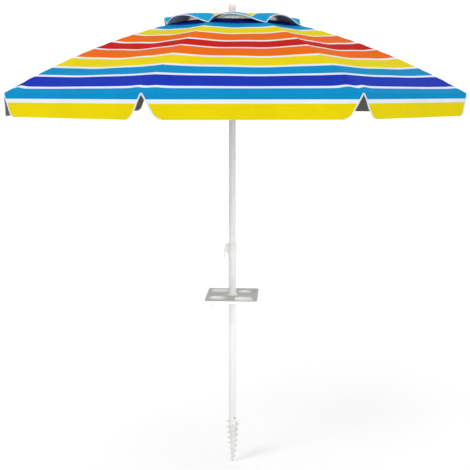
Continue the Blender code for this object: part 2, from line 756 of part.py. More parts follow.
def shell(mesh):
    """The cloth's thickness, built upwards from its underside."""
    obj = work_object("cloth", outward_up(mesh))
    thick = obj.modifiers.new("thickness", "SOLIDIFY")
    thick.thickness = CLOTH
    thick.offset = 1.0
    thick.use_even_offset = True
    return baked(obj)


def outward_up(mesh):
    """The open sheet with its faces turned to look up on the whole."""
    work = bmesh.new()
    work.from_mesh(mesh)
    bmesh.ops.recalc_face_normals(work, faces=work.faces)
    work.normal_update()
    if sum(face.normal.z * face.calc_area() for face in work.faces) < 0.0:
        bmesh.ops.reverse_faces(work, faces=work.faces)
    work.to_mesh(mesh)
    work.free()
    return mesh


def make_vent_cover(carrier):
    """The cover over the vent: on the hub in the middle, low on the ribs, arched between them."""
    shares = np.linspace(-1.0, 1.0, COVER_COLUMNS + 1)[:-1]
    flat = HUB_NECK + EDGE
    start = HUB_TOP + FIT
    corner = float(cloth_height(np.float64(COVER_RADIUS))) + 2.0 * CLOTH + FIT
    slopes = np.linspace(0.0, 1.0, COVER_ROWS + 1)
    rings = [(FINIAL_STUD + FIT, 0.0)]
    rings += [(flat + (COVER_RADIUS - flat) * row, row) for row in slopes]
    points = []
    for radius, row in rings:
        for rib in range(RIB_COUNT):
            for share in shares:
                middle = 1.0 - share**2
                turn = RIB_TURN + (rib + 0.5 + 0.5 * share) * STEP_ANGLE
                chord = math.cos(HALF_GORE) / math.cos(0.5 * share * STEP_ANGLE)
                reach = radius * (1.0 + (chord - 1.0) * min(1.0, 4.0 * row))
                reach += COVER_BULGE * middle * row**2
                height = start + (corner - start) * row**1.15 + COVER_ARCH * middle * row**1.5
                points.append((reach * math.cos(turn), reach * math.sin(turn), height))
    ring = RIB_COUNT * COVER_COLUMNS
    faces = []
    for r in range(len(rings) - 1):
        for c in range(ring):
            a, b = r * ring + c, r * ring + (c + 1) % ring
            faces.append((a, a + ring, b + ring, b))
    mesh = bpy.data.meshes.new("cover")
    mesh.from_pydata(points, [], faces)
    return place_part("vent_cover", shell(mesh), COVER_CLOTH, carrier)


def make_runner(carrier):
    """The runner: a sleeve with a slotted crown, grooved underneath for the stretchers' cross pins."""
    wall = RUNNER_BORE + RUNNER_WALL
    grip = wall + RUNNER_GRIP
    groove_in = PIVOT_RADIUS - STRETCHER_PIN - RUNNING_FIT
    tee_out = math.hypot(PIVOT_RADIUS + STRETCHER_PIN, STRETCHER_TEE / 2.0)
    groove_out = tee_out + RUNNING_FIT
    roof = STRETCHER_PIN + RUNNING_FIT
    body = turned([
        (RUNNER_BORE, RUNNER_NECK + RUNNER_CROWN_TOP),
        (wall, RUNNER_NECK + RUNNER_CROWN_TOP),
        (wall + EDGE, RUNNER_CROWN_TOP),
        (RUNNER_CROWN_RADIUS - EDGE, RUNNER_CROWN_TOP),
        (RUNNER_CROWN_RADIUS, RUNNER_CROWN_TOP - EDGE),
        (RUNNER_CROWN_RADIUS, -RUNNER_CROWN_BOTTOM),
        (groove_out, -RUNNER_CROWN_BOTTOM),
        (groove_out, roof),
        (groove_in, roof),
        (groove_in, -RUNNER_CROWN_BOTTOM),
        (wall + EDGE, -RUNNER_CROWN_BOTTOM - CHAMFER),
        (wall, -0.7 * RUNNER_SLEEVE),
        (grip, -0.8 * RUNNER_SLEEVE),
        (grip, -RUNNER_SLEEVE + EDGE),
        (grip - EDGE, -RUNNER_SLEEVE),
        (RUNNER_BORE, -RUNNER_SLEEVE),
    ], HUB_SIDES)
    reach = 2.0 * RUNNER_CROWN_TOP
    inner = PIVOT_RADIUS - STRETCHER_EYE - SLOT_DEPTH_MARGIN
    slots = radial_slots(RIB_COUNT, SLOT_WIDTH, inner, 1.3 * RUNNER_CROWN_RADIUS, -reach, reach, RIB_TURN)
    return place_part("runner", combined(body, slots, "DIFFERENCE"), RUNNER_PLASTIC, carrier)


def make_runner_catch(carrier):
    """The leaf spring inside the upper tube, whose nose stands out under the runner."""
    top = RUNNER_BOTTOM - RUNNING_FIT
    inside = UPPER_BORE - RUNNING_FIT
    nose = UPPER_POLE_RADIUS + CATCH_REACH
    inner = inside - CATCH_STRIP
    outline = [
        (inside, top - CATCH_LEG),
        (inside, top - CATCH_NOSE - CATCH_STRIP),
        (nose, top - CATCH_STRIP),
        (nose, top),
        (inner, top),
        (inner, top - CATCH_STRIP),
        (nose - 2.0 * CATCH_STRIP, top - CATCH_STRIP),
        (inner, top - CATCH_NOSE - CATCH_STRIP),
        (inner, top - CATCH_LEG),
    ]
    mesh = extruded([outline], CATCH_WIDTH)
    return place_part("runner_catch", moved(mesh, Matrix.Translation((0.0, 0.0, -LOWER_POLE_TOP))),
                      SPRING_STEEL, carrier)


def make_clamp_collar():
    """The collar on the lower tube's mouth, with cheeks for the lever and a window for its cam."""
    upper_bore = UPPER_POLE_RADIUS + RUNNING_FIT
    lower_bore = LOWER_POLE_RADIUS + FIT
    bottom = COLLAR_TOP - COLLAR_HEIGHT
    shoulder = LOWER_POLE_TOP + FIT
    ring = turned([
        (upper_bore, COLLAR_TOP),
        (COLLAR_RADIUS - COLLAR_STEP, COLLAR_TOP),
        (COLLAR_RADIUS - COLLAR_STEP, COLLAR_TOP - COLLAR_LIP),
        (COLLAR_RADIUS, COLLAR_TOP - COLLAR_LIP - EDGE),
        (COLLAR_RADIUS, bottom + EDGE),
        (COLLAR_RADIUS - EDGE, bottom),
        (lower_bore, bottom),
        (lower_bore, shoulder),
        (upper_bore, shoulder),
    ], POLE_SIDES)
    pivot_x, pivot_z = lever_pivot()
    nose = LEVER_PIN_RADIUS + CHEEK_NOSE
    cheek_out = CHEEK_SPREAD + CHEEK_THICKNESS
    wall_inside = math.sqrt(lower_bore**2 - CHEEK_SPREAD**2)
    wall_outside = math.sqrt(COLLAR_RADIUS**2 - cheek_out**2)
    root = -(wall_inside + wall_outside) / 2.0
    outline = arc((pivot_x, pivot_z), nose, math.radians(70.0), math.radians(215.0), 5)
    outline += [(root, pivot_z - CHEEK_DROP), (root, COLLAR_TOP - EDGE)]
    cheeks = []
    for side in (-1.0, 1.0):
        cheek = extruded([outline], CHEEK_THICKNESS)
        cheek.transform(Matrix.Translation((0.0, side * (CHEEK_SPREAD + CHEEK_THICKNESS / 2.0), 0.0)))
        cheeks.append(cheek)
    body = combined(ring, cheeks, "UNION")
    pin_hole = cylinder(LEVER_PIN_RADIUS + FIT, 2.4 * cheek_out)
    pin_hole.transform(Matrix.Translation((pivot_x, 0.0, pivot_z)))
    window_top, window_bottom = pivot_z + CAM_NOSE, shoulder - FIT
    window = block((2.0 * CUT_OVER, 2.0 * CHEEK_SPREAD - RUNNING_FIT / 2.0, window_top - window_bottom),
                   (-COLLAR_RADIUS, 0.0, (window_top + window_bottom) / 2.0))
    mesh = combined(body, [window, pin_hole], "DIFFERENCE")
    return place_part("clamp_collar", mesh, COLLAR_PLASTIC)


def lever_pivot():
    """The lever's pin, as (x, z) on the left of the pole."""
    return -(UPPER_POLE_RADIUS + LEVER_PIVOT_OUT), LOWER_POLE_TOP + LEVER_PIVOT_RISE


def make_clamp_lever(carrier):
    """The flip lever: a cam at the pin, a thick block below it and a thin finger arm."""
    cam = LEVER_PIVOT_OUT - FIT
    gap_side = -(COLLAR_RADIUS + LEVER_GAP) - lever_pivot()[0]
    outer = -LEVER_REACH
    inner = outer + LEVER_ARM
    outline = arc((0.0, 0.0), cam, math.radians(-40.0), math.radians(20.0), 5)
    outline += arc((0.0, 0.0), 0.80 * cam, math.radians(40.0), math.radians(150.0), 7)
    outline += [(0.72 * outer, -0.17 * LEVER_DROP), (outer, -0.29 * LEVER_DROP)]
    outline += [(outer, -0.86 * LEVER_DROP), (outer + CHAMFER, -LEVER_DROP + CHAMFER)]
    outline += [(inner + CHAMFER, -LEVER_DROP), (inner + CHAMFER + EDGE, -0.95 * LEVER_DROP)]
    outline += [(inner, -0.85 * LEVER_DROP), (inner, -LEVER_BLOCK_DROP - 2.0 * CHAMFER)]
    outline += [(inner + 2.0 * CHAMFER, -LEVER_BLOCK_DROP), (gap_side, -LEVER_BLOCK_DROP)]
    outline += [(gap_side, -0.2 * LEVER_DROP)]
    width = 2.0 * (CHEEK_SPREAD - RUNNING_FIT)
    body = extruded([outline], width)
    hole = cylinder(LEVER_PIN_RADIUS + FIT, 2.0 * width)
    return place_part("clamp_lever", combined(body, [hole], "DIFFERENCE"), LEVER_PLASTIC, carrier)


def make_lever_pin():
    """The pin through the cheeks and the lever."""
    length = 2.0 * (CHEEK_SPREAD + CHEEK_THICKNESS)
    pivot_x, pivot_z = lever_pivot()
    mesh = moved(cylinder(LEVER_PIN_RADIUS, length), Matrix.Translation((pivot_x, 0.0, pivot_z)))
    return place_part("lever_pin", mesh, WIRE_STEEL)


def make_tray_collet(carrier):
    """The split sleeve that grips the pole, with a flange that the tray's boss sits on."""
    bottom = -TRAY_BOSS_DROP - FIT
    mesh = turned([
        (COLLET_BORE, COLLET_ABOVE),
        (COLLET_RADIUS - EDGE, COLLET_ABOVE),
        (COLLET_RADIUS, COLLET_ABOVE - EDGE),
        (COLLET_RADIUS, bottom),
        (COLLET_RADIUS + COLLET_FLANGE, bottom),
        (COLLET_RADIUS + COLLET_FLANGE, bottom - COLLET_FLANGE_HEIGHT),
        (COLLET_BORE, bottom - COLLET_FLANGE_HEIGHT),
    ], POLE_SIDES)
    reach = COLLET_ABOVE - bottom + COLLET_FLANGE_HEIGHT
    slit = block((COLLET_RADIUS, COLLET_SLIT, 2.0 * reach), (COLLET_RADIUS, 0.0, 0.0))
    return place_part("tray_collet", combined(mesh, [slit], "DIFFERENCE"), WHITE_PLASTIC, carrier)


def cup_wall(x, y, grow, bottom, top):
    """A round well's solid, narrowing a little to its floor."""
    floor = CUP_RADIUS * CUP_TAPER + grow
    mesh = turned([(0.0, top), (CUP_RADIUS + grow, top), (floor, bottom + CUP_ROUND),
                   (floor - CUP_ROUND, bottom), (0.0, bottom)], CUP_SIDES)
    return moved(mesh, Matrix.Translation((x, y, 0.0)))


def bin_wall(x, y, grow, bottom, top):
    """A rounded square well's solid."""
    outline = round_box(BIN_WIDTH + 2.0 * grow, BIN_LENGTH + 2.0 * grow, BIN_CORNER + grow)
    return moved(plate(outline, bottom, top), Matrix.Translation((x, y, 0.0)))


def make_tray(carrier):
    """The tray: a skirted plate with two cup wells, two square wells and a boss on the collet."""
    outline = round_box(TRAY_WIDTH, TRAY_LENGTH, TRAY_CORNER)
    inside = round_box(TRAY_WIDTH - 2.0 * TRAY_WALL, TRAY_LENGTH - 2.0 * TRAY_WALL, TRAY_CORNER - TRAY_WALL)
    deck = plate(outline, -TRAY_SKIRT, 0.0)
    hollow = plate(inside, -TRAY_SKIRT - CUT_OVER, -TRAY_WALL)
    body = combined(deck, [hollow], "DIFFERENCE")
    cups = ((-CUP_X, -CUP_Y), (CUP_X, CUP_Y))
    bins = ((BIN_X, -BIN_Y), (-BIN_X, BIN_Y))
    inset = -TRAY_WALL / 2.0
    walls = [cup_wall(x, y, TRAY_WALL, -CUP_DEPTH - TRAY_WALL, inset) for x, y in cups]
    walls += [bin_wall(x, y, TRAY_WALL, -BIN_DEPTH - TRAY_WALL, inset) for x, y in bins]
    bore = COLLET_RADIUS + RUNNING_FIT
    boss = turned([(0.0, inset), (bore + TRAY_BOSS_WALL, inset),
                   (bore + TRAY_BOSS_WALL, -TRAY_BOSS_DROP), (0.0, -TRAY_BOSS_DROP)], POLE_SIDES)
    body = combined(body, walls + [boss], "UNION")
    wells = [cup_wall(x, y, 0.0, -CUP_DEPTH, CUT_OVER) for x, y in cups]
    wells += [bin_wall(x, y, 0.0, -BIN_DEPTH, CUT_OVER) for x, y in bins]
    below = -TRAY_BOSS_DROP - CUT_OVER
    hole = turned([(0.0, CUT_OVER), (bore, CUT_OVER), (bore, below), (0.0, below)], POLE_SIDES)
    return place_part("tray", combined(body, wells + [hole], "DIFFERENCE"), TRAY_PLASTIC, carrier)


def make_canopy_frame(hub_empty):
    """Eight ribs with their caps, brackets, cloth and stretchers, each about its own pivots."""
    shapes = {
        "rib": (rib_mesh(), RIB_STEEL, Matrix.Identity(4)),
        "rib_tip": (tip_mesh(), TIP_PLASTIC, rib_frame(RIB_RUN)),
        "rib_bracket": (bracket_mesh(), BRACKET_PLASTIC, rib_frame(BRACKET_RUN)),
        "canopy_panel": (panel_mesh(), CANOPY_CLOTH, Matrix.Identity(4)),
    }
    stretcher = stretcher_mesh()
    lean = math.atan2(-BRACKET_PIN_HEIGHT, BRACKET_PIN_RUN)
    for k in range(RIB_COUNT):
        number = k + 1
        turn = RIB_TURN + k * STEP_ANGLE
        place = (PIVOT_RADIUS * math.cos(turn), PIVOT_RADIUS * math.sin(turn), 0.0)
        pivot = pivot_empty(f"rib_pivot_{number}", place, turn, hub_empty)
        for word, (mesh, material, matrix) in shapes.items():
            place_part(f"{word}_{number}", mesh, material, pivot, matrix)
        pin = (BRACKET_PIN_RUN, 0.0, BRACKET_PIN_HEIGHT)
        elbow = pivot_empty(f"stretcher_pivot_{number}", pin, 0.0, pivot)
        aim = Matrix.Rotation(math.pi - lean, 4, "Y")
        place_part(f"stretcher_{number}", stretcher, RIB_STEEL, elbow, aim)


def main():
    """Build every sub-part in its place."""
    make_lower_pole()
    make_sand_anchor()
    make_anchor_screw()
    make_clamp_collar()
    make_lever_pin()
    pivot_x, pivot_z = lever_pivot()
    make_clamp_lever(pivot_empty("lever_pivot", (pivot_x, 0.0, pivot_z)))
    tray_empty = pivot_empty("tray_axis", (0.0, 0.0, TRAY_Z))
    make_tray_collet(tray_empty)
    make_tray(tray_empty)
    upper = pivot_empty("height_slide", (0.0, 0.0, LOWER_POLE_TOP))
    make_upper_pole(upper)
    make_pole_bush(upper)
    make_runner_catch(upper)
    hub_empty = pivot_empty("hub_centre", (0.0, 0.0, HUB_PIVOT_Z - LOWER_POLE_TOP), 0.0, upper)
    make_hub(hub_empty)
    make_hub_ring(hub_empty)
    make_finial(hub_empty)
    make_vent_cover(hub_empty)
    runner_empty = pivot_empty("runner_slide", (0.0, 0.0, RUNNER_PIVOT_Z - LOWER_POLE_TOP), 0.0, upper)
    make_runner(runner_empty)
    make_canopy_frame(hub_empty)


main()
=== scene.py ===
"""Beach umbrella: the looks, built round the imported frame.

Every length is in metres unless its name ends in _mm, and angles are in radians.
The cloth is made rib by rib, because each rib folds on its own pivot.
"""
import json
import logging
import math
from dataclasses import dataclass, field
from enum import Enum
from typing import Any

import bmesh
import bpy
import numpy as np
from bpy.types import Material, Mesh, Node, NodeSocket, NodeTree, Object
from mathutils import Euler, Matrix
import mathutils


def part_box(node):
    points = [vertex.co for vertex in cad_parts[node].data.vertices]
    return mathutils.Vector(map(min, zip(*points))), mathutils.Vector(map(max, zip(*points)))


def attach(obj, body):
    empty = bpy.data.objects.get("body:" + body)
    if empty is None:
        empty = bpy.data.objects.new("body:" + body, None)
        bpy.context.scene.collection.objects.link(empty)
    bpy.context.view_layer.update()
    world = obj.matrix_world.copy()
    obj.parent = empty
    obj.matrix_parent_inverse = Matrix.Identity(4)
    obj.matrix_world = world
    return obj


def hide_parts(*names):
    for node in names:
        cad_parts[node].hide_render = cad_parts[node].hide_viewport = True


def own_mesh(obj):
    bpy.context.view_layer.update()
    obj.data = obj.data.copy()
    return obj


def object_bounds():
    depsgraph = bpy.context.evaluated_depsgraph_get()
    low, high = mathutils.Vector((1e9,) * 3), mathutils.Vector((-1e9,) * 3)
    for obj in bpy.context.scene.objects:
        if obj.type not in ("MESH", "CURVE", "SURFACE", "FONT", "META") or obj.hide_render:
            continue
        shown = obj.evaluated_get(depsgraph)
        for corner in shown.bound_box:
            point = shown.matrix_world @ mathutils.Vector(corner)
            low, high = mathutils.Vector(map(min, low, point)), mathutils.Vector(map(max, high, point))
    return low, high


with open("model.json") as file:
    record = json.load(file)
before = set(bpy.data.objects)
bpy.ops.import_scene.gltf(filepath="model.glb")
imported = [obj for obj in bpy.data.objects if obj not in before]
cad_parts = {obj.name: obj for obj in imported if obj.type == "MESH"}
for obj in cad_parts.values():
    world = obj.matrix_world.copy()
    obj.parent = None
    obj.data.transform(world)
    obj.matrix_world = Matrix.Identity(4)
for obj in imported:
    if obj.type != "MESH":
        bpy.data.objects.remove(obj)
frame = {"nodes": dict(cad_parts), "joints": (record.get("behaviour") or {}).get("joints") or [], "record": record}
CAD_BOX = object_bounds()

LOG = logging.getLogger("beach_umbrella")
MM = 0.001
FULL_TURN = 2.0 * math.pi
UP = np.array((0.0, 0.0, 1.0))
WHITE = "#FFFFFF"
WELD = 1e-6  # points nearer than this become one
FLAT = math.radians(1.0)  # faces of a moulding that turn by less become one
CREASE = math.radians(38.0)  # edges of a moulding that turn by more are rounded
SHARP = math.radians(50.0)  # edges of the cloth that turn by more are shaded as edges
PROBE = 1e-4  # step for finding a surface's directions
TINY = 1e-12  # shorter vectors have no direction
GOLDEN = 0.618  # the golden ratio's share of a turn
PLAIN_MM = 1000.0  # width of a band that stands for a whole cloth
WAVE_PERIOD = FULL_TURN / 20.0  # of Blender's wave texture at a scale of one


class Tint(Enum):
    """Dyes of the cloth, as sRGB hex."""

    AZURE = "#0484BB"
    CYAN = "#0A97C6"
    ROYAL = "#1630A8"
    YELLOW = "#D8C504"
    ORANGE = "#DB640A"
    RED = "#B8160F"
    WHITE = "#D6DCE8"
    LINING = "#6A6A65"
    COVER_LINING = "#C9C4BC"


class Side(Enum):
    """The two halves of a rib's cloth: towards the rib before it and the rib after it."""

    BEFORE = -1
    AFTER = 1


Bands = tuple[tuple[Tint, float], ...]  # colours with their widths in millimetres
Array = np.ndarray
Tier = tuple[float, float]  # start and end of a strip of the canopy
Patch = tuple[Array, Array]  # a grid of points and its UV map in metres
Vector = tuple[float, float, float]
Pair = tuple[float, float]


def srgb(code: str) -> tuple[float, float, float, float]:
    """Turn an sRGB hex code into a linear colour by the standard's curve.

    Args:
        code: the colour as #RRGGBB.

    Returns:
        Linear red, green, blue and an alpha of one.
    """
    values = [int(code[k:k + 2], 16) / 255.0 for k in (1, 3, 5)]
    red, green, blue = (v / 12.92 if v <= 0.04045 else ((v + 0.055) / 1.055) ** 2.4 for v in values)
    return red, green, blue, 1.0


def feed(tree: NodeTree, node: Node, inputs: dict[Any, Any]) -> None:
    """Set or link a node's inputs.

    Args:
        tree: the node tree.
        node: the node.
        inputs: socket name or number, to a value or to the output that feeds it.
    """
    for key, value in inputs.items():
        if isinstance(value, NodeSocket):
            tree.links.new(value, node.inputs[key])
        else:
            node.inputs[key].default_value = value


def add_node(tree: NodeTree, kind: str, inputs: dict[Any, Any], **settings: Any) -> Node:
    """Add a shader node.

    Args:
        tree: the node tree that takes it.
        kind: Blender's type name, without ShaderNode before it.
        inputs: as for feed.
        **settings: properties of the node itself.

    Returns:
        The new node.
    """
    node = tree.nodes.new(f"ShaderNode{kind}")
    for name, value in settings.items():
        setattr(node, name, value)
    feed(tree, node, inputs)
    return node


def noise(tree: NodeTree, place: NodeSocket, size_mm: float, detail: float = 2.0) -> NodeSocket:
    """Soft patches of a size, read at a place in metres: a value about a half."""
    inputs = {"Vector": place, "Scale": 1.0 / (size_mm * MM), "Detail": detail}
    return add_node(tree, "TexNoise", inputs).outputs["Fac"]


def ranged(tree: NodeTree, value: NodeSocket, to: Pair, of: Pair = (0.0, 1.0)) -> NodeSocket:
    """Carry a value from one range to another and hold it there."""
    inputs = {"Value": value, "From Min": of[0], "From Max": of[1], "To Min": to[0], "To Max": to[1]}
    return add_node(tree, "MapRange", inputs).outputs["Result"]


def mixed(tree: NodeTree, share: Any, first: Any, second: Any, blend: str = "MIX") -> NodeSocket:
    """Mix two colours; the Mix node takes colours at inputs 6 and 7 and gives one at output 2."""
    inputs = {0: share, 6: first, 7: second}
    return add_node(tree, "Mix", inputs, data_type="RGBA", blend_type=blend).outputs[2]


def maths(tree: NodeTree, operation: str, *values: Any) -> NodeSocket:
    """Work out one step of arithmetic on numbers or outputs."""
    return add_node(tree, "Math", dict(enumerate(values)), operation=operation).outputs[0]


def bumped(tree: NodeTree, height: NodeSocket, strength: float, depth_mm: float) -> NodeSocket:
    """Turn a height from nought to one into a normal, with the depth that a height of one stands for."""
    inputs = {"Height": height, "Strength": strength, "Distance": depth_mm * MM}
    return add_node(tree, "Bump", inputs).outputs["Normal"]


def object_place(tree: NodeTree) -> NodeSocket:
    """The place on the piece, in metres."""
    return add_node(tree, "TexCoord", {}).outputs["Object"]


def empty_material(name: str) -> tuple[Material, NodeTree, Node]:
    """Make a material that holds a Principled shader alone.

    Args:
        name: the material's name.

    Returns:
        The material, its node tree and its shader.
    """
    material = bpy.data.materials.new(name)
    material.use_nodes = True
    return material, material.node_tree, material.node_tree.nodes["Principled BSDF"]


@dataclass(frozen=True)
class MouldedFinish:
    """A rigid finish: a base colour that drifts to a second one, over a fine surface grain.

    Attributes:
        name: what the real material is and how it was made.
        colour: main colour, sRGB hex.
        drift: colour of the faint patches, sRGB hex.
        drift_mm: size of the patches.
        grain_mm: size of the grain; finer real grain is drawn this coarse so that it shows.
        grain_depth_mm: height of the grain.
        roughness: lowest and highest over the patches.
        metallic: one for bare metal.
        coat: weight of a clear coat.
        stretch: how many times longer the pattern runs along Z.
        relief: strength of the grain.
        contrast: range of the noise over which the roughness changes.
    """

    name: str
    colour: str
    drift: str
    drift_mm: float
    grain_mm: float
    grain_depth_mm: float
    roughness: Pair
    metallic: float = 0.0
    coat: float = 0.0
    stretch: float = 1.0
    relief: float = 0.6
    contrast: Pair = (0.3, 0.7)

    def build(self) -> Material:
        """Make the material: drift noise feeds colour and roughness, grain noise feeds the bump.

        Returns:
            The material.
        """
        material, tree, shader = empty_material(self.name)
        place = add_node(tree, "Mapping", {"Vector": object_place(tree),
                                           "Scale": (1.0, 1.0, 1.0 / self.stretch)}).outputs["Vector"]
        drift = noise(tree, place, self.drift_mm, 3.0)
        grain = noise(tree, place, self.grain_mm)
        feed(tree, shader, {"Base Color": mixed(tree, drift, srgb(self.colour), srgb(self.drift)),
                            "Roughness": ranged(tree, drift, self.roughness, self.contrast),
                            "Normal": bumped(tree, grain, self.relief, self.grain_depth_mm),
                            "Metallic": self.metallic, "Coat Weight": self.coat})
        return material


@dataclass(frozen=True)
class ClothFinish:
    """Woven polyester that reads its UV map in metres: U across the rib, V down the cloth.

    Attributes:
        name: what the cloth is.
        bands: its colours in the order that V meets them.
        start: V where the first band begins.
        thread_mm: thread spacing; the real 0.3 mm weave is drawn this coarse so that it shows.
        seam_mm: distance of each row of stitches from the rib, or nought for none.
        stitch_mm: length of one stitch and its gap.
        stitch_share: the stitch's share of that length.
        row_mm: half of a stitch's width.
        roughness: lowest and highest over soft patches.
        patch_mm: size of the patches.
        shade: darkest and lightest tone of the patches.
        contrast: range of the noise over which the tone changes.
        gloss: how strongly the weave mirrors light.
        relief: strength of the weave.
        relief_mm: height of the weave.
    """

    name: str
    bands: Bands
    start: float = 0.0
    thread_mm: float = 1.6
    seam_mm: float = 4.0
    stitch_mm: float = 7.0
    stitch_share: float = 0.65
    row_mm: float = 0.7
    roughness: Pair = (0.72, 0.86)
    patch_mm: float = 200.0
    shade: Pair = (0.93, 1.04)
    contrast: Pair = (0.25, 0.75)
    gloss: float = 0.05
    relief: float = 0.5
    relief_mm: float = 0.3

    def build(self) -> Material:
        """Make the material: a stepped ramp over V for the stripes, two waves for the weave.

        Returns:
            The material.
        """
        material, tree, shader = empty_material(self.name)
        uv = add_node(tree, "UVMap", {}, uv_map="cloth").outputs["UV"]
        across, down, _ = add_node(tree, "SeparateXYZ", {"Vector": uv}).outputs
        soft = noise(tree, uv, self.patch_mm, 3.0)
        tone = ranged(tree, soft, self.shade, self.contrast)
        height = self.weave(tree, uv)
        if self.seam_mm > 0.0:
            height = maths(tree, "SUBTRACT", height, self.stitches(tree, across, down))
        feed(tree, shader, {"Base Color": mixed(tree, 1.0, self.striped(tree, down), tone, "MULTIPLY"),
                            "Roughness": ranged(tree, soft, self.roughness),
                            "Normal": bumped(tree, height, self.relief, self.relief_mm),
                            "Specular IOR Level": self.gloss})
        return material

    def striped(self, tree: NodeTree, down: NodeSocket) -> NodeSocket:
        """Colour the cloth by a stepped ramp over V, one step for each band.

        Args:
            tree: the material's tree.
            down: V.

        Returns:
            The colour.
        """
        total = sum(width for _, width in self.bands) * MM
        share = ranged(tree, down, (0.0, 1.0), (self.start, self.start + total))
        ramp = add_node(tree, "ValToRGB", {"Fac": share})
        steps = ramp.color_ramp
        steps.interpolation = "CONSTANT"
        at = 0.0
        for number, (tint, width) in enumerate(self.bands):
            step = steps.elements[0] if number == 0 else steps.elements.new(at)
            step.position = at
            step.color = srgb(tint.value)
            at += width * MM / total
        steps.elements.remove(steps.elements[-1])
        return ramp.outputs["Color"]

    def weave(self, tree: NodeTree, uv: NodeSocket) -> NodeSocket:
        """Cross two sets of threads: height is the product of a wave along U and one along V.

        Args:
            tree: the material's tree.
            uv: U and V.

        Returns:
            The height.
        """
        inputs = {"Vector": uv, "Scale": WAVE_PERIOD / (self.thread_mm * MM)}
        threads = (add_node(tree, "TexWave", inputs, bands_direction=way) for way in ("X", "Y"))
        return maths(tree, "MULTIPLY", *(thread.outputs["Fac"] for thread in threads))

    def stitches(self, tree: NodeTree, across: NodeSocket, down: NodeSocket) -> NodeSocket:
        """Mark two rows of stitches beside the rib: where |U| is near the row and V is in a stitch.

        Args:
            tree: the material's tree.
            across: U.
            down: V.

        Returns:
            One in a stitch and nought elsewhere.
        """
        row = maths(tree, "COMPARE", maths(tree, "ABSOLUTE", across), self.seam_mm * MM, self.row_mm * MM)
        along = maths(tree, "MODULO", down, self.stitch_mm * MM)
        dash = maths(tree, "LESS_THAN", along, self.stitch_share * self.stitch_mm * MM)
        return maths(tree, "MULTIPLY", row, dash)


def plain(tint: Tint) -> Bands:
    """Bands of a cloth with one dye: the ramp needs two steps."""
    return ((tint, PLAIN_MM),) * 2


def binding(name: str) -> Material:
    """White tape: its one band starts above the cloth, its thread is finer and no stitches show."""
    return ClothFinish(name, plain(Tint.WHITE), start=-1.0, thread_mm=1.2, seam_mm=0.0).build()


@dataclass
class SurfaceSet:
    """Grids of points gathered into one mesh, each with its UV map and material."""

    points: list[Array] = field(default_factory=list)
    faces: list[Array] = field(default_factory=list)
    uvs: list[Array] = field(default_factory=list)
    slots: list[Array] = field(default_factory=list)
    count: int = 0

    def add(self, grid: Array, uv: Array | None = None, slot: int | Array = 0,
            flip: bool = False, wrap: bool = False, skip: Array | None = None) -> None:
        """Add a grid: quads join each point to the next one down and across.

        Args:
            grid: points as rows x columns x 3.
            uv: map as rows x columns x 2, or nothing for nought all over.
            slot: number of the material, for all faces or for each.
            flip: turns the faces over.
            wrap: joins the last column to the first.
            skip: true where a face is left out.
        """
        rows, columns = grid.shape[:2]
        index = np.arange(rows * columns).reshape(rows, columns)
        if wrap:
            index = np.concatenate((index, index[:, :1]), 1)
        quads = np.stack((index[:-1, :-1], index[1:, :-1], index[1:, 1:], index[:-1, 1:]), -1)
        keep = np.ones(quads.shape[:2], bool) if skip is None else ~skip
        self.slots.append(np.broadcast_to(slot, keep.shape)[keep])
        quads = quads[keep][:, ::-1] if flip else quads[keep]
        self.points.append(grid.reshape(-1, 3))
        self.uvs.append(np.zeros((rows * columns, 2)) if uv is None else uv.reshape(-1, 2))
        self.faces.append(quads + self.count)
        self.count += rows * columns

    def mesh(self, name: str) -> Mesh:
        """Put the grids into one mesh with a UV map named cloth.

        Args:
            name: the mesh's name.

        Returns:
            The mesh, shaded smooth.
        """
        mesh = bpy.data.meshes.new(name)
        mesh.from_pydata(np.concatenate(self.points), [], np.concatenate(self.faces))
        layer = mesh.uv_layers.new(name="cloth")
        corners = np.empty(len(mesh.loops), np.int32)
        mesh.loops.foreach_get("vertex_index", corners)
        layer.data.foreach_set("uv", np.concatenate(self.uvs)[corners].astype(np.float32).ravel())
        mesh.polygons.foreach_set("material_index", np.concatenate(self.slots).astype(np.int32))
        mesh.shade_smooth()
        return mesh


def linked(name: str, data: Any) -> Object:
    """Make an object and put it in the scene.

    Args:
        name: the object's name.
        data: its mesh, light or camera.

    Returns:
        The object.
    """
    made = bpy.data.objects.new(name, data)
    bpy.context.scene.collection.objects.link(made)
    return made


def welded(mesh: Mesh, flat: float = 0.0) -> Mesh:
    """Join points of a mesh that lie together, and merge its flat faces.

    Args:
        mesh: the mesh, which is changed.
        flat: angle below which faces merge, or nought to leave them.

    Returns:
        The same mesh.
    """
    work = bmesh.new()
    work.from_mesh(mesh)
    bmesh.ops.remove_doubles(work, verts=work.verts, dist=WELD)
    if flat > 0.0:
        bmesh.ops.dissolve_limit(work, angle_limit=flat, verts=work.verts, edges=work.edges)
    work.to_mesh(mesh)
    work.free()
    return mesh


def turned(profile: Array, sides: int = 72) -> Array:
    """Turn a profile about Z: (radius, height) becomes (r cos a, r sin a, z) for angles a.

    Args:
        profile: radius and height of each point.
        sides: points round the axis.

    Returns:
        Points, rows down the profile and columns round the axis.
    """
    angle = np.linspace(0.0, FULL_TURN, sides, endpoint=False)
    radius, height = profile[:, :1], profile[:, 1:2]
    return np.stack((radius * np.cos(angle), radius * np.sin(angle), height + 0.0 * angle), -1)


def turned_mesh(name: str, profile: Array) -> Mesh:
    """Make a mesh by turning a profile about Z.

    Args:
        name: the mesh's name.
        profile: from the axis down the outer side, or round a wall.

    Returns:
        The mesh.
    """
    made = SurfaceSet()
    made.add(turned(profile), wrap=True, flip=True)
    return made.mesh(name)


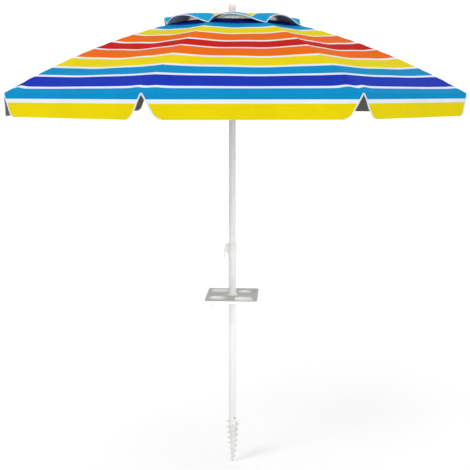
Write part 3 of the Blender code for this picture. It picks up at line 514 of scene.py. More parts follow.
def eased(profile: list[Pair], radius: float, steps: int = 5, most: float = 0.45) -> Array:
    """Round the corners of a profile: each inner corner becomes a quadratic curve between two near points.

    Args:
        profile: corner points.
        radius: distance from a corner at which its curve begins.
        steps: points of each curve.
        most: largest share of a side that a curve takes.

    Returns:
        Points of the rounded profile.
    """
    corner = np.array(profile, float)
    back = corner[:-2] - corner[1:-1]
    ahead = corner[2:] - corner[1:-1]
    long_back = np.linalg.norm(back, axis=1, keepdims=True)
    long_ahead = np.linalg.norm(ahead, axis=1, keepdims=True)
    begin = corner[1:-1] + back * np.minimum(radius / long_back, most)
    end = corner[1:-1] + ahead * np.minimum(radius / long_ahead, most)
    t = np.linspace(0.0, 1.0, steps)[None, :, None]
    curve = (1 - t) ** 2 * begin[:, None] + 2 * t * (1 - t) * corner[1:-1, None] + t**2 * end[:, None]
    return np.concatenate((corner[:1], curve.reshape(-1, 2), corner[-1:]))


def unit(vectors: Array) -> Array:
    """Scale vectors along the last axis to length one."""
    return vectors / np.maximum(np.linalg.norm(vectors, axis=-1, keepdims=True), TINY)


def length_along(points: Array) -> Array:
    """Distance of each point along a line of points from the first one."""
    return np.concatenate(([0.0], np.cumsum(np.linalg.norm(np.diff(points, axis=0), axis=1))))


def smooth_step(value: Array) -> Array:
    """Cubic step from nought to one."""
    t = np.clip(value, 0.0, 1.0)
    return t * t * (3.0 - 2.0 * t)


def place_piece(name: str, mesh: Mesh, materials: list[Material], body: str, slot: str,
                *nodes: str) -> Object:
    """Make a piece from a mesh, on its body and in place of its CAD nodes.

    Args:
        name: the piece's name.
        mesh: its mesh, in the frame's coordinates.
        materials: in slot order.
        body: the CAD body that carries it.
        slot: the record's material slot; not used.
        *nodes: the CAD nodes that it stands for.

    Returns:
        The new object.
    """
    piece = linked(name, mesh)
    for number, material in enumerate(materials):
        if number < len(mesh.materials):
            mesh.materials[number] = material
        else:
            mesh.materials.append(material)
    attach(piece, body)
    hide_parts(*nodes)
    LOG.info("%s rides on %s", name, body)
    return piece


def softened(node: str, material: Material, slot: str, edge_mm: float) -> None:
    """Stand for a rigid CAD node with a copy whose edges are rounded, as a mould leaves them.

    Args:
        node: the CAD node.
        material: its finish.
        slot: the record's material slot.
        edge_mm: width of the rounding.
    """
    mesh = welded(frame["nodes"][node].data.copy(), FLAT)
    mesh.polygons.foreach_set("material_index", np.zeros(len(mesh.polygons), np.int32))
    bodies = frame["record"]["behaviour"]["bodies"]
    body = next(name for name, nodes in bodies.items() if node in nodes)
    piece = place_piece(f"{node}_finished", mesh, [material], body, slot, node)
    rounding = piece.modifiers.new("edges", "BEVEL")
    rounding.width = edge_mm * MM
    rounding.segments = 2
    rounding.limit_method = "ANGLE"
    rounding.angle_limit = CREASE
    rounding.harden_normals = True
    mesh.shade_smooth()
    mesh.set_sharp_from_angle(angle=CREASE)


def joint(name: str) -> dict[str, Any]:
    """Find a joint of the frame by its name."""
    return next(j for j in frame["joints"] if j["name"] == name)


@dataclass(frozen=True)
class Finishes:
    """Every rigid finish of the umbrella."""

    # Powder-coated steel tube: smooth with a faint orange peel and a soft gloss.
    tube: MouldedFinish = MouldedFinish(
        "powder_coated_steel", "#E4E4E3", "#DCDCDB", 140.0, 1.4, 0.012, (0.26, 0.36), coat=0.25, stretch=4.0)
    # Injection-moulded polypropylene: matt sheen, fine spark-eroded grain.
    plastic: MouldedFinish = MouldedFinish(
        "moulded_polypropylene", "#E9E9E7", "#E1E1DF", 35.0, 0.7, 0.02, (0.36, 0.48))
    # Moulded tray: polished wells and skirt, bright with a soft gloss.
    tray: MouldedFinish = MouldedFinish(
        "polished_tray_polypropylene", "#FDFDFB", "#F6F6F3", 70.0, 0.9, 0.015, (0.28, 0.4))
    # The tray's flat deck, sand-blasted in the mould so that things don't slide: dull, and greyer than the wells
    # as painted shade on the flat top.
    deck: MouldedFinish = MouldedFinish(
        "tray_polypropylene_with_painted_shade", "#D6D5D0", "#CCCBC5", 45.0, 1.2, 0.05, (0.5, 0.64))
    # Moulded nylon of the clips under the ribs: plain grey with a low sheen.
    nylon: MouldedFinish = MouldedFinish(
        "moulded_grey_nylon", "#A6A7A9", "#97989B", 12.0, 0.6, 0.02, (0.4, 0.52))
    # Acetal of the guide bush: dark, slightly waxy.
    acetal: MouldedFinish = MouldedFinish(
        "turned_black_acetal", "#33343A", "#2A2B2F", 10.0, 0.5, 0.01, (0.3, 0.42))
    # Pultruded fibreglass: pale grey with small cloudy patches of resin.
    fibreglass: MouldedFinish = MouldedFinish(
        "pultruded_fibreglass", "#C9CBCD", "#B2B5B8", 5.0, 0.6, 0.02, (0.3, 0.45))
    # Galvanised flat steel of the stretchers: dull zinc with cloudy patches.
    zinc: MouldedFinish = MouldedFinish(
        "galvanised_steel", "#B9BCC0", "#A2A6AA", 8.0, 0.7, 0.015, (0.32, 0.5), metallic=0.85)
    # Bright drawn wire and spring strip: sharp, narrow highlights.
    wire: MouldedFinish = MouldedFinish(
        "drawn_steel_wire", "#C4C4C6", "#AEAEB2", 4.0, 0.3, 0.008, (0.2, 0.34), metallic=1.0)
    # Blackened screw: a dark dot with a dull glint.
    screw: MouldedFinish = MouldedFinish(
        "blackened_screw_steel", "#4A4A4E", "#38383C", 3.0, 0.3, 0.01, (0.35, 0.5), metallic=0.8)


@dataclass(frozen=True)
class RibLine:
    """The line of the ribs and the cloth on them, in the plane of one rib.

    Attributes:
        slope: fall of a rib at its pivot.
        run: length of a rib in plan.
        bow: growth of the fall: drop = slope * run + bow * run^2.
        half_rib: half of the rib's height.
        tip_radius: radius of the cap on its end.
        fit: gap between rib and cloth at the hub, and at the tip.
        count: number of ribs.
    """

    slope: float = 0.132
    run: float = 0.952
    bow: float = 0.205 / 0.952**2
    half_rib: float = 0.0025
    tip_radius: float = 0.0046
    fit: Pair = (0.0003, 0.0006)
    count: int = 8

    @property
    def pivot(self) -> Array:
        """Pivot of the first rib."""
        return np.array(joint("rib_1_fold")["pos_m"], float)

    @property
    def pivot_height(self) -> float:
        """Height of the rib pivots."""
        return float(self.pivot[2])

    @property
    def pivot_radius(self) -> float:
        """Distance of the rib pivots from the pole's axis."""
        return float(np.hypot(self.pivot[0], self.pivot[1]))

    @property
    def half_gore(self) -> float:
        """Half of the angle between two ribs."""
        return math.pi / self.count

    @property
    def numbers(self) -> range:
        """The ribs' numbers, counted from one."""
        return range(1, self.count + 1)

    def heading(self, number: int) -> Pair:
        """Cosine and sine of a rib's angle about the pole."""
        turn = math.atan2(self.pivot[1], self.pivot[0]) + (number - 1) * 2.0 * self.half_gore
        return math.cos(turn), math.sin(turn)

    def cloth_height(self, radius: Array | float) -> Array:
        """Height of the cloth's underside over a rib.

        The rib's parabola, lifted square to itself by half the rib at the hub and by the cap at the tip.

        Args:
            radius: distance from the pole's axis.

        Returns:
            Height above the sand line.
        """
        run = np.asarray(radius) - self.pivot_radius
        share = np.clip(run / self.run, 0.0, None)
        lift = (self.half_rib + self.fit[0]) * (1.0 - share) + (self.tip_radius + self.fit[1]) * share
        slope = self.slope + 2.0 * self.bow * run
        return self.pivot_height - self.slope * run - self.bow * run**2 + lift * np.hypot(1.0, slope)

    def placed(self, grid: Array, number: int) -> Array:
        """Turn points from a rib's own plane to the rib's place.

        Args:
            grid: points with X out along the rib from the pole's axis, Y across it and Z up.
            number: the rib.

        Returns:
            The points in the frame.
        """
        c, s = self.heading(number)
        x, y, z = grid[..., 0], grid[..., 1], grid[..., 2]
        return np.stack((c * x - s * y, s * x + c * y, z), -1)

    def gore(self, number: int, side: Side) -> int:
        """Number of the gore on one side of a rib; gore n lies between rib n and the next."""
        return number if side is Side.AFTER else (number - 2) % self.count + 1

    def across(self, number: int) -> Vector:
        """Direction across a rib, which is the axis of its pivot."""
        c, s = self.heading(number)
        return (-s, c, 0.0)

    def out(self, number: int, radius: float) -> Vector:
        """A point in a rib's plane at the height of the pivots."""
        c, s = self.heading(number)
        return (radius * c, radius * s, self.pivot_height)


def wander(number: int) -> float:
    """A phase for the folds of one gore: golden-ratio steps, the same on each run."""
    return FULL_TURN * ((GOLDEN * number) % 1.0)


def sewn(ribs: RibLine, number: int, thickness: float, halves: list[Patch], tapes: list[Patch]) -> Mesh:
    """Put the two halves of a rib's cloth, their lining and their tapes into one mesh.

    Args:
        ribs: the line of the ribs.
        number: the rib.
        thickness: of the cloth.
        halves: the outer face in the rib's plane, in the order of Side.
        tapes: the binding in the same order, or nothing.

    Returns:
        A mesh with the cloth in slot 0, the lining in slot 1, and tape and edges in slot 2.
    """
    cloth, bound = SurfaceSet(), SurfaceSet()
    for side, (grid, uv) in zip(Side, halves):
        cloth.add(ribs.placed(grid, number), uv, flip=side is Side.BEFORE)
    for side, (grid, uv) in zip(Side, tapes):
        bound.add(ribs.placed(grid, number), uv, 2, flip=side is Side.AFTER, wrap=True)
    work = bmesh.new()
    work.from_mesh(with_lining(welded(cloth.mesh("cloth")), thickness))
    if tapes:
        work.from_mesh(bound.mesh("tape"))
    made = bpy.data.meshes.new("cloth")
    work.to_mesh(made)
    work.free()
    made.shade_smooth()
    made.set_sharp_from_angle(angle=SHARP)
    return made


def with_lining(mesh: Mesh, thickness: float) -> Mesh:
    """Give a sheet its thickness inwards: slot 0 outside, slot 1 inside, slot 2 on the edges.

    Args:
        mesh: the outer face.
        thickness: of the cloth.

    Returns:
        The closed sheet.
    """
    sheet = linked("sheet", mesh)
    wall = sheet.modifiers.new("thickness", "SOLIDIFY")
    wall.thickness = thickness
    wall.offset = -1.0
    wall.material_offset = 1
    wall.material_offset_rim = 2
    for _ in range(3):
        mesh.materials.append(None)
    depsgraph = bpy.context.evaluated_depsgraph_get()
    made = bpy.data.meshes.new_from_object(sheet.evaluated_get(depsgraph))
    bpy.data.objects.remove(sheet, do_unlink=True)
    return made


@dataclass
class Canopy:
    """The striped canopy: eight gores stretched over the ribs, with a hanging flap below each.

    It is cut across at the rim and at the borders of some stripes into tiers.  A tier is given by its start and
    end
    along the cloth: the radius as far as the rim, then the rim's radius plus the depth of the flap.
    """

    ribs: RibLine
    vent_radius: float = 0.205
    rim_radius: float = 0.993
    thickness: float = 0.0008
    sag: float = 0.012
    # Soft folds that slant across a gore.
    fold: float = 0.0013
    fold_waves: float = 1.1
    fold_slant: float = 7.0
    # Puckers of the stitching beside a rib.
    pucker: float = 0.0007
    pucker_step: float = 0.055
    pucker_reach: float = 0.03
    # The bulge on each side of a rib's tip, and how much it differs from tip to tip.
    tip_bulge: float = 0.0046
    tip_reach: float = 0.036
    tip_uneven: float = 0.45
    # The hanging flap: its lean, slow waves, and the roll of the cloth over the rim.
    flap: float = 0.090
    flap_flare: float = 0.006
    wave: float = 0.0035
    wave_length: float = 0.31
    wave_growth: float = 1.3
    roll: float = 0.0018
    notch_taper: float = 0.047
    notch_corner: float = 0.021
    tape_width: float = 0.0036
    tape_thickness: float = 0.0011
    tape_ease: float = 0.6
    # Fineness of the meshes.
    row_step: float = 0.0104
    columns: int = 26
    flap_rows: int = 14
    tape_rows: int = 32
    hem_columns: int = 47
    area_rows: int = 100
    # Bands after which the cloth is cut, its share of the folded room, and its length over the run in plan.
    cuts: tuple[int, ...] = (3, 5, 7, 9, 11, 13, 15, 17, 19)
    fold_fit: float = 0.9
    slope_length: float = 1.1
    bands: Bands = (
        (Tint.ROYAL, 94), (Tint.AZURE, 65), (Tint.WHITE, 15), (Tint.YELLOW, 66), (Tint.WHITE, 10),
        (Tint.ORANGE, 78), (Tint.WHITE, 17), (Tint.RED, 63), (Tint.WHITE, 11), (Tint.ORANGE, 76),
        (Tint.WHITE, 12), (Tint.YELLOW, 71), (Tint.WHITE, 16), (Tint.AZURE, 56), (Tint.WHITE, 15),
        (Tint.ROYAL, 76), (Tint.WHITE, 13), (Tint.AZURE, 54), (Tint.WHITE, 14), (Tint.YELLOW, 90))

    @property
    def half_rim(self) -> float:
        """Distance along the straight rim from a rib to the middle of the gore."""
        return self.rim_radius * math.sin(self.ribs.half_gore)

    @property
    def tiers(self) -> list[Tier]:
        """Cut the cloth across.

        Returns:
            Start and end of each tier, from the vent to the hem.
        """
        edges = self.vent_radius + MM * np.cumsum([width for _, width in self.bands])
        ends = sorted((self.vent_radius, self.rim_radius, self.rim_radius + self.flap,
                       *(float(edges[cut - 1]) for cut in self.cuts)))
        return list(zip(ends, ends[1:]))

    def point(self, radius: Array, share: Array, number: int, side: Side) -> Array:
        """Points of the cloth between a rib and the middle of the gore.

        In plan the cloth runs straight from rib to rib: x = r (1 - s sin^2 h), y = r s sin h cos h, with h
        half the angle of a gore and s from nought on the rib to one in the middle.  It sags by a parabola of
        s, which leaves a crease on the rib, and soft folds die away at the ribs.  The pull of the rib's tip
        raises a bulge on each side of it: d^2 exp(1 - d^2), with d the distance from the rib over its reach.

        Args:
            radius: radius of the point's stripe where it crosses the rib.
            share: s.
            number: the rib.
            side: which half of the rib's cloth.

        Returns:
            Points in the rib's own plane.
        """
        h = self.ribs.half_gore
        span = (radius - self.vent_radius) / (self.rim_radius - self.vent_radius)
        slack = np.sin(math.pi * span)
        dip = self.sag * slack * (2.0 * share - share**2)
        off = side.value * (share - 1.0)
        phase = self.fold_slant * span + wander(self.ribs.gore(number, side))
        fold = self.fold * np.sin(FULL_TURN * self.fold_waves * off + phase) * slack * (1.0 - off**2)
        pucker = self.pucker * np.sin(FULL_TURN * radius / self.pucker_step + wander(number))
        pucker = pucker * np.exp(-share * radius / self.pucker_reach)
        away = share * radius * math.sin(h) / self.tip_reach
        tip = (self.rim_radius - radius) / (2.0 * self.tip_reach)
        uneven = 1.0 + self.tip_uneven * math.sin(wander(number) + side.value)
        bulge = self.tip_bulge * uneven * away**2 * np.exp(1.0 - away**2 - tip**2)
        height = self.ribs.cloth_height(radius) + self.thickness - dip + fold + pucker + bulge
        x = radius * (1.0 - share * math.sin(h) ** 2)
        return np.stack((x, side.value * radius * share * math.sin(h) * math.cos(h), height), -1)

    def flap_point(self, along: Array, depth: Array, number: int, side: Side) -> Array:
        """Points of the hanging flap: down from the rim, leaning out a little, with slow waves.

        The wave grows with depth and is a sine of the distance from the middle of the gore.

        Args:
            along: distance from the rib's corner along the straight rim.
            depth: distance below the rim.
            number: the rib.
            side: which half of the rib's cloth.

        Returns:
            Points in the rib's own plane.
        """
        h = self.ribs.half_gore
        share = depth / self.flap
        phase = FULL_TURN * side.value * (along - self.half_rim) / self.wave_length
        wave = self.wave * np.sin(phase + wander(self.ribs.gore(number, side))) * share**self.wave_growth
        roll = self.roll * np.sin(math.pi * np.clip(share * 2.0, 0.0, 1.0))
        lean = self.flap_flare * share + wave + roll
        x = self.rim_radius - along * math.sin(h) + lean * math.cos(h)
        y = side.value * (along * math.cos(h) + lean * math.sin(h))
        return np.stack((x, y, self.ribs.cloth_height(self.rim_radius) + self.thickness - depth), -1)

    def notch(self, share: Array) -> Array:
        """Distance of a flap's side from the rib at a share of its depth: a taper, then a quarter circle."""
        turn = np.clip(1.0 - (1.0 - share) * self.flap / self.notch_corner, 0.0, 1.0)
        return self.notch_taper * share + self.notch_corner * (1.0 - np.sqrt(1.0 - turn**2))

    def is_flap(self, tier: Tier) -> bool:
        """Whether a tier is part of the hanging flap."""
        return tier[0] >= self.rim_radius

    def flap_shares(self, tier: Tier, count: int) -> Array:
        """Shares of the flap's depth down a tier, closer together towards the hem."""
        first, last = (math.asin(min(1.0, (end - self.rim_radius) / self.flap)) for end in tier)
        return np.sin(np.linspace(first, last, count))

    def fold_keep(self, tier: Tier) -> float:
        """Share of a tier's width that fits between the neighbouring ribs' cloth when the ribs are folded.

        The fold turns the middle of the gore, on the tier's lower edge, about the rib's pivot.  There it fits
        while its distance y across the rib is less than x tan h, with x its distance out from the pole.

        Args:
            tier: its start and end.

        Returns:
            The share.
        """
        h, fold = self.ribs.half_gore, math.radians(joint("rib_1_fold")["range_deg"][1])
        end = np.array(tier[1])
        if self.is_flap(tier):
            middle = self.flap_point(np.array(self.half_rim), end - self.rim_radius, 1, Side.AFTER)
        else:
            middle = self.point(end, np.array(1.0), 1, Side.AFTER)
        run, rise = middle[0] - self.ribs.pivot_radius, middle[2] - self.ribs.pivot_height
        folded = self.ribs.pivot_radius + run * math.cos(fold) + rise * math.sin(fold)
        return float(self.fold_fit * folded * math.tan(h) / middle[1])

    def half_sheet(self, number: int, side: Side, tier: Tier) -> Patch:
        """One half of a tier of a rib's cloth.

        Args:
            number: the rib.
            side: which half.
            tier: its start and end.

        Returns:
            Points in the rib's plane and their UV map.
        """
        share = np.linspace(0.0, 1.0, self.columns + 1)[None, :]
        if not self.is_flap(tier):
            rows = math.ceil((tier[1] - tier[0]) / self.row_step) + 1
            down = np.linspace(*tier, rows)[:, None] + 0.0 * share
            grid = self.point(down, share + 0.0 * down, number, side)
            return grid, np.stack((grid[..., 1], down), -1)
        depth = self.flap_shares(tier, self.flap_rows + 1)[:, None] + 0.0 * share
        edge = self.notch(depth)
        grid = self.flap_point(edge + (self.half_rim - edge) * share, self.flap * depth, number, side)
        if tier[0] == self.rim_radius:
            grid[0] = self.point(np.full_like(share[0], self.rim_radius), share[0], number, side)
        return grid, np.stack((grid[..., 1], self.rim_radius + self.flap * depth), -1)

    def edge_tape(self, number: int, side: Side, tier: Tier) -> Patch:
        """The white binding on a flap's side, which goes on along the hem in the last tier.

        Args:
            number: the rib.
            side: which half of its cloth.
            tier: its start and end.

        Returns:
            Points in the rib's plane and their UV map.
        """
        share = self.flap_shares(tier, self.tape_rows)
        hem = np.arange(1, self.hem_columns + 1) / self.hem_columns if share[-1] >= 1.0 else np.empty(0)
        corner = float(self.notch(np.array(1.0)))
        along = np.concatenate((self.notch(share), corner + (self.half_rim - corner) * hem))
        depth = self.flap * np.concatenate((share, np.ones_like(hem)))
        path = self.flap_point(along, depth, number, side)
        down = unit(self.flap_point(along, depth + PROBE, number, side) - path)
        onward = unit(self.flap_point(along + PROBE, depth, number, side) - path)
        outward = unit(np.cross(onward, down)) * -side.value
        inward = unit(np.cross(outward, unit(np.gradient(path, axis=0)))) * side.value
        return self.bound(path, inward, outward)

    def bound(self, path: Array, inward: Array, outward: Array) -> Patch:
        """Fold a binding over an edge: a flat U, whose points (a, b) lie at edge + a * inward + b * outward.

        Args:
            path: points of the edge.
            inward: direction into the cloth at each point.
            outward: direction out of the cloth's face.

        Returns:
            Points and their UV map, U along the edge and V round the section.
        """
        w, t, c = self.tape_width, self.tape_thickness, self.thickness
        corners = [(w, 0.0), (w, t), (-t, t), (-t, -c - t), (w, -c - t), (w, -c)]
        section = eased(corners, self.tape_ease * t, 4)
        a, b = section[None, :, :1], section[None, :, 1:2]
        uv = np.broadcast_arrays(length_along(path)[:, None], length_along(section)[None, :])
        return path[:, None] + a * inward[:, None] + b * outward[:, None], np.stack(uv, -1)

    def dress(self) -> None:
        """Make the cloth of every rib, tier by tier, and hang each piece on its rib's body."""
        # Dyed woven polyester: matt, with crisp stripes and a fine relief of threads.
        outer = ClothFinish("woven_striped_polyester", self.bands, self.vent_radius).build()
        # Coated inner face: grey and a little smoother, so that the canopy is dark from below.
        lining = ClothFinish("silver_coated_lining", plain(Tint.LINING), roughness=(0.5, 0.66)).build()
        # Woven binding: a crisp white line with a finer thread and no seam.
        tape = binding("woven_binding_tape")
        for number in self.ribs.numbers:
            for count, tier in enumerate(self.tiers, 1):
                halves = [self.half_sheet(number, side, tier) for side in Side]
                tapes = [self.edge_tape(number, side, tier) for side in Side if self.is_flap(tier)]
                mesh = sewn(self.ribs, number, self.thickness, halves, tapes)
                piece = place_piece(f"canopy_cloth_{number}_tier_{count}", mesh, [outer, lining, tape],
                                    f"rib_{number}", "canopy_cloth", f"canopy_panel_{number}")
                self.flat_area(tier)
                self.ribs.across(number)
                self.ribs.out(number, self.rim_radius)
                self.fold_keep(tier)
                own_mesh(piece)

    def flat_area(self, tier: Tier) -> float:
        """Area of a tier's cut cloth: a trapezium up the slope, or the flap less its notch.

        Args:
            tier: its start and end.

        Returns:
            The area, summed over thin strips.
        """
        h = self.ribs.half_gore
        if self.is_flap(tier):
            depth = self.flap_shares(tier, self.area_rows)
            return float(np.trapz(2.0 * (self.half_rim - self.notch(depth)), self.flap * depth))
        radius = np.linspace(*tier, self.area_rows)
        slope = np.gradient(self.ribs.cloth_height(radius), radius)
        return float(np.trapz(2.0 * radius * math.sin(h) * np.hypot(math.cos(h), slope), radius))


@dataclass
class VentCover:
    """The small cover over the vent: low on the ribs, arched up between them, bound with white tape."""

    ribs: RibLine
    canopy: Canopy
    radius: float = 0.305
    inner: float = 0.030
    flat_radius: float = 0.0203
    hub_top: float = 0.01132
    fit: float = 0.0003
    # The arch between two ribs: its height, the powers of its shape, and where its top lies in each gap.
    arch: float = 0.046
    arch_growth: float = 1.5
    droop: float = 0.22
    droop_growth: float = 5.0
    bulge: float = 0.010
    fall: float = 1.15
    flat_top: float = 2.4
    tongue: float = 1.45
    tops: tuple[float, ...] = (0.58, 0.42, 0.6, 0.46, 0.38, 0.34, 0.34, 0.62)
    # Rows are round at the hub and straight from this row on; the tape lies in over this share of a half hem.
    straight_from: float = 0.25
    hang_from: float = 1.0 / 3.0
    rows: int = 34
    columns: int = 18
    fold_keep: float = 0.30
    # The round patch under the finial: its top over the seat in thicknesses of cloth, its rounding, how far
    # its map is moved aside, its hole, its overlap, its thickness and its fall at the rim.
    patch_lift: float = 2.2
    patch_ease: float = 0.6 * MM
    patch_aside: float = 0.05
    patch_hole: float = 0.006
    patch_lap: float = 0.009
    patch_thickness: float = 0.0011
    patch_fall: float = 0.0022
    # Room for the arch in the flat cloth, as a factor across and a length along, and in its cut area.
    flat_room: Pair = (1.12, 0.01)
    area_room: float = 1.10 * 0.97
    bands: Bands = (
        (Tint.RED, 40), (Tint.WHITE, 8), (Tint.ORANGE, 56), (Tint.WHITE, 8), (Tint.YELLOW, 54),
        (Tint.WHITE, 8), (Tint.CYAN, 150))

    @property
    def seat(self) -> float:
        """Height of the cover's underside on the hub."""
        return self.ribs.pivot_height + self.hub_top + self.fit

    def reach(self, row: Array) -> Array:
        """Radius of a row on the rib."""
        return self.flat_radius + (self.radius - self.flat_radius) * row

    def point(self, row: Array, share: Array, number: int, side: Side) -> Array:
        """Points of the cover between a rib and the middle of the gap.

        Height falls from the hub to the rib's cloth with a power of the row and rises between ribs by
        arch * (1 - |2 u^k - 1|^flat_top)^tongue * row^arch_growth, where u goes from nought to one across
        the gap and k carries the top to its place at the hem.  The outer power rounds the tongue that lies
        on each rib, and the last rows droop.

        Args:
            row: nought at the hub and one at the hem.
            share: nought on the rib and one in the middle.
            number: the rib.
            side: which half of the rib's cover.

        Returns:
            Points in the rib's own plane.
        """
        h = self.ribs.half_gore
        past = 0.5 + 0.5 * side.value * (share - 1.0)
        top = math.log(0.5) / math.log(self.tops[self.ribs.gore(number, side) - 1])
        lift = np.abs(2.0 * past ** (1.0 + (top - 1.0) * row**2) - 1.0) ** self.flat_top
        lift = (1.0 - lift) ** self.tongue
        chord = math.cos(h) / np.cos((1.0 - share) * h)
        straight = 1.0 + (chord - 1.0) * np.minimum(1.0, row / self.straight_from)
        reach = self.reach(row) * straight + self.bulge * lift * row**2
        corner = float(self.ribs.cloth_height(self.radius)) + 2.0 * self.canopy.thickness + self.fit
        rise = self.arch * row**self.arch_growth * (1.0 - self.droop * row**self.droop_growth)
        height = self.seat + (corner - self.seat) * row**self.fall + rise * lift
        angle = side.value * share * h
        return np.stack((reach * np.cos(angle), reach * np.sin(angle), height + self.canopy.thickness), -1)

    def sheet_mesh(self, number: int) -> Mesh:
        """The outer face, lining and hem tape of one rib's share of the cover.

        Args:
            number: the rib.

        Returns:
            The mesh, as sewn.
        """
        share = np.linspace(0.0, 1.0, self.columns + 1)[None, :]
        first = (self.inner - self.flat_radius) / (self.radius - self.flat_radius)
        row = np.linspace(first, 1.0, self.rows + 1)[:, None] + 0.0 * share
        grids = [self.point(row, share + 0.0 * row, number, side) for side in Side]
        halves = [(grid, np.stack((grid[..., 1], self.reach(row)), -1)) for grid in grids]
        tapes = [self.edge_tape(grid, side) for grid, side in zip(grids, Side)]
        return sewn(self.ribs, number, self.canopy.thickness, halves, tapes)

    def edge_tape(self, grid: Array, side: Side) -> Patch:
        """The binding on the hem: a flat band that hangs from the cover's last row, and lies in at the ribs.

        Args:
            grid: the cover's points.
            side: which half of the rib's cover.

        Returns:
            Points in the rib's plane and their UV map.
        """
        hang = np.clip(np.linspace(0.0, 1.0, len(grid[-1])) / self.hang_from, 0.0, 1.0)[:, None]
        path = grid[-1] - hang * self.canopy.tape_width * UP
        inward = unit((1.0 - hang) * unit(grid[-2] - grid[-1]) + hang * UP)
        outward = unit(np.cross(unit(np.gradient(path, axis=0)), inward)) * side.value
        outward = outward * np.sign(np.sum(outward * grid[-1], 1, keepdims=True))
        return self.canopy.bound(path, inward, outward)

    def rosette_mesh(self) -> Mesh:
        """The round patch under the finial, which closes the cover over the hub: a turned profile.

        Returns:
            The mesh.
        """
        top = self.seat + self.patch_lift * self.canopy.thickness
        rim, low = self.inner + self.patch_lap, top - self.patch_thickness
        profile = eased([(self.patch_hole, top), (self.flat_radius, top), (rim, top - self.patch_fall),
                         (rim, top - self.patch_fall - MM), (self.flat_radius, low), (self.patch_hole, low)],
                        self.patch_ease, 3)
        grid = turned(np.concatenate((profile, profile[:1])))
        patch = SurfaceSet()
        # U is moved aside, so that no row of stitches runs over the patch.
        uv = np.stack((self.patch_aside + grid[..., 1], np.hypot(grid[..., 0], grid[..., 1])), -1)
        patch.add(grid, uv, wrap=True)
        return patch.mesh("vent_cover_rosette")

    def dress(self) -> None:
        """Make the cover's eight shares and the patch in the middle."""
        # The canopy's cloth with the cover's own stripes: matt, with a fine relief of threads.
        outer = ClothFinish("woven_striped_cover_polyester", self.bands).build()
        # Uncoated inner face: pale, so that the cover's inside catches light.
        lining = ClothFinish("pale_cover_lining", plain(Tint.COVER_LINING), roughness=(0.6, 0.75)).build()
        # Woven binding: a crisp white line with a finer thread and no seam.
        tape = binding("woven_cover_binding")
        for number in self.ribs.numbers:
            piece = place_piece(f"vent_cover_cloth_{number}", self.sheet_mesh(number), [outer, lining, tape],
                                f"rib_{number}", "cover_cloth", "vent_cover")
            self.ribs.across(number)
            self.ribs.out(number, self.radius)
            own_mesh(piece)
        patch = place_piece("vent_cover_rosette", self.rosette_mesh(), [outer], "upper_pole", "cover_cloth",
                            "vent_cover")


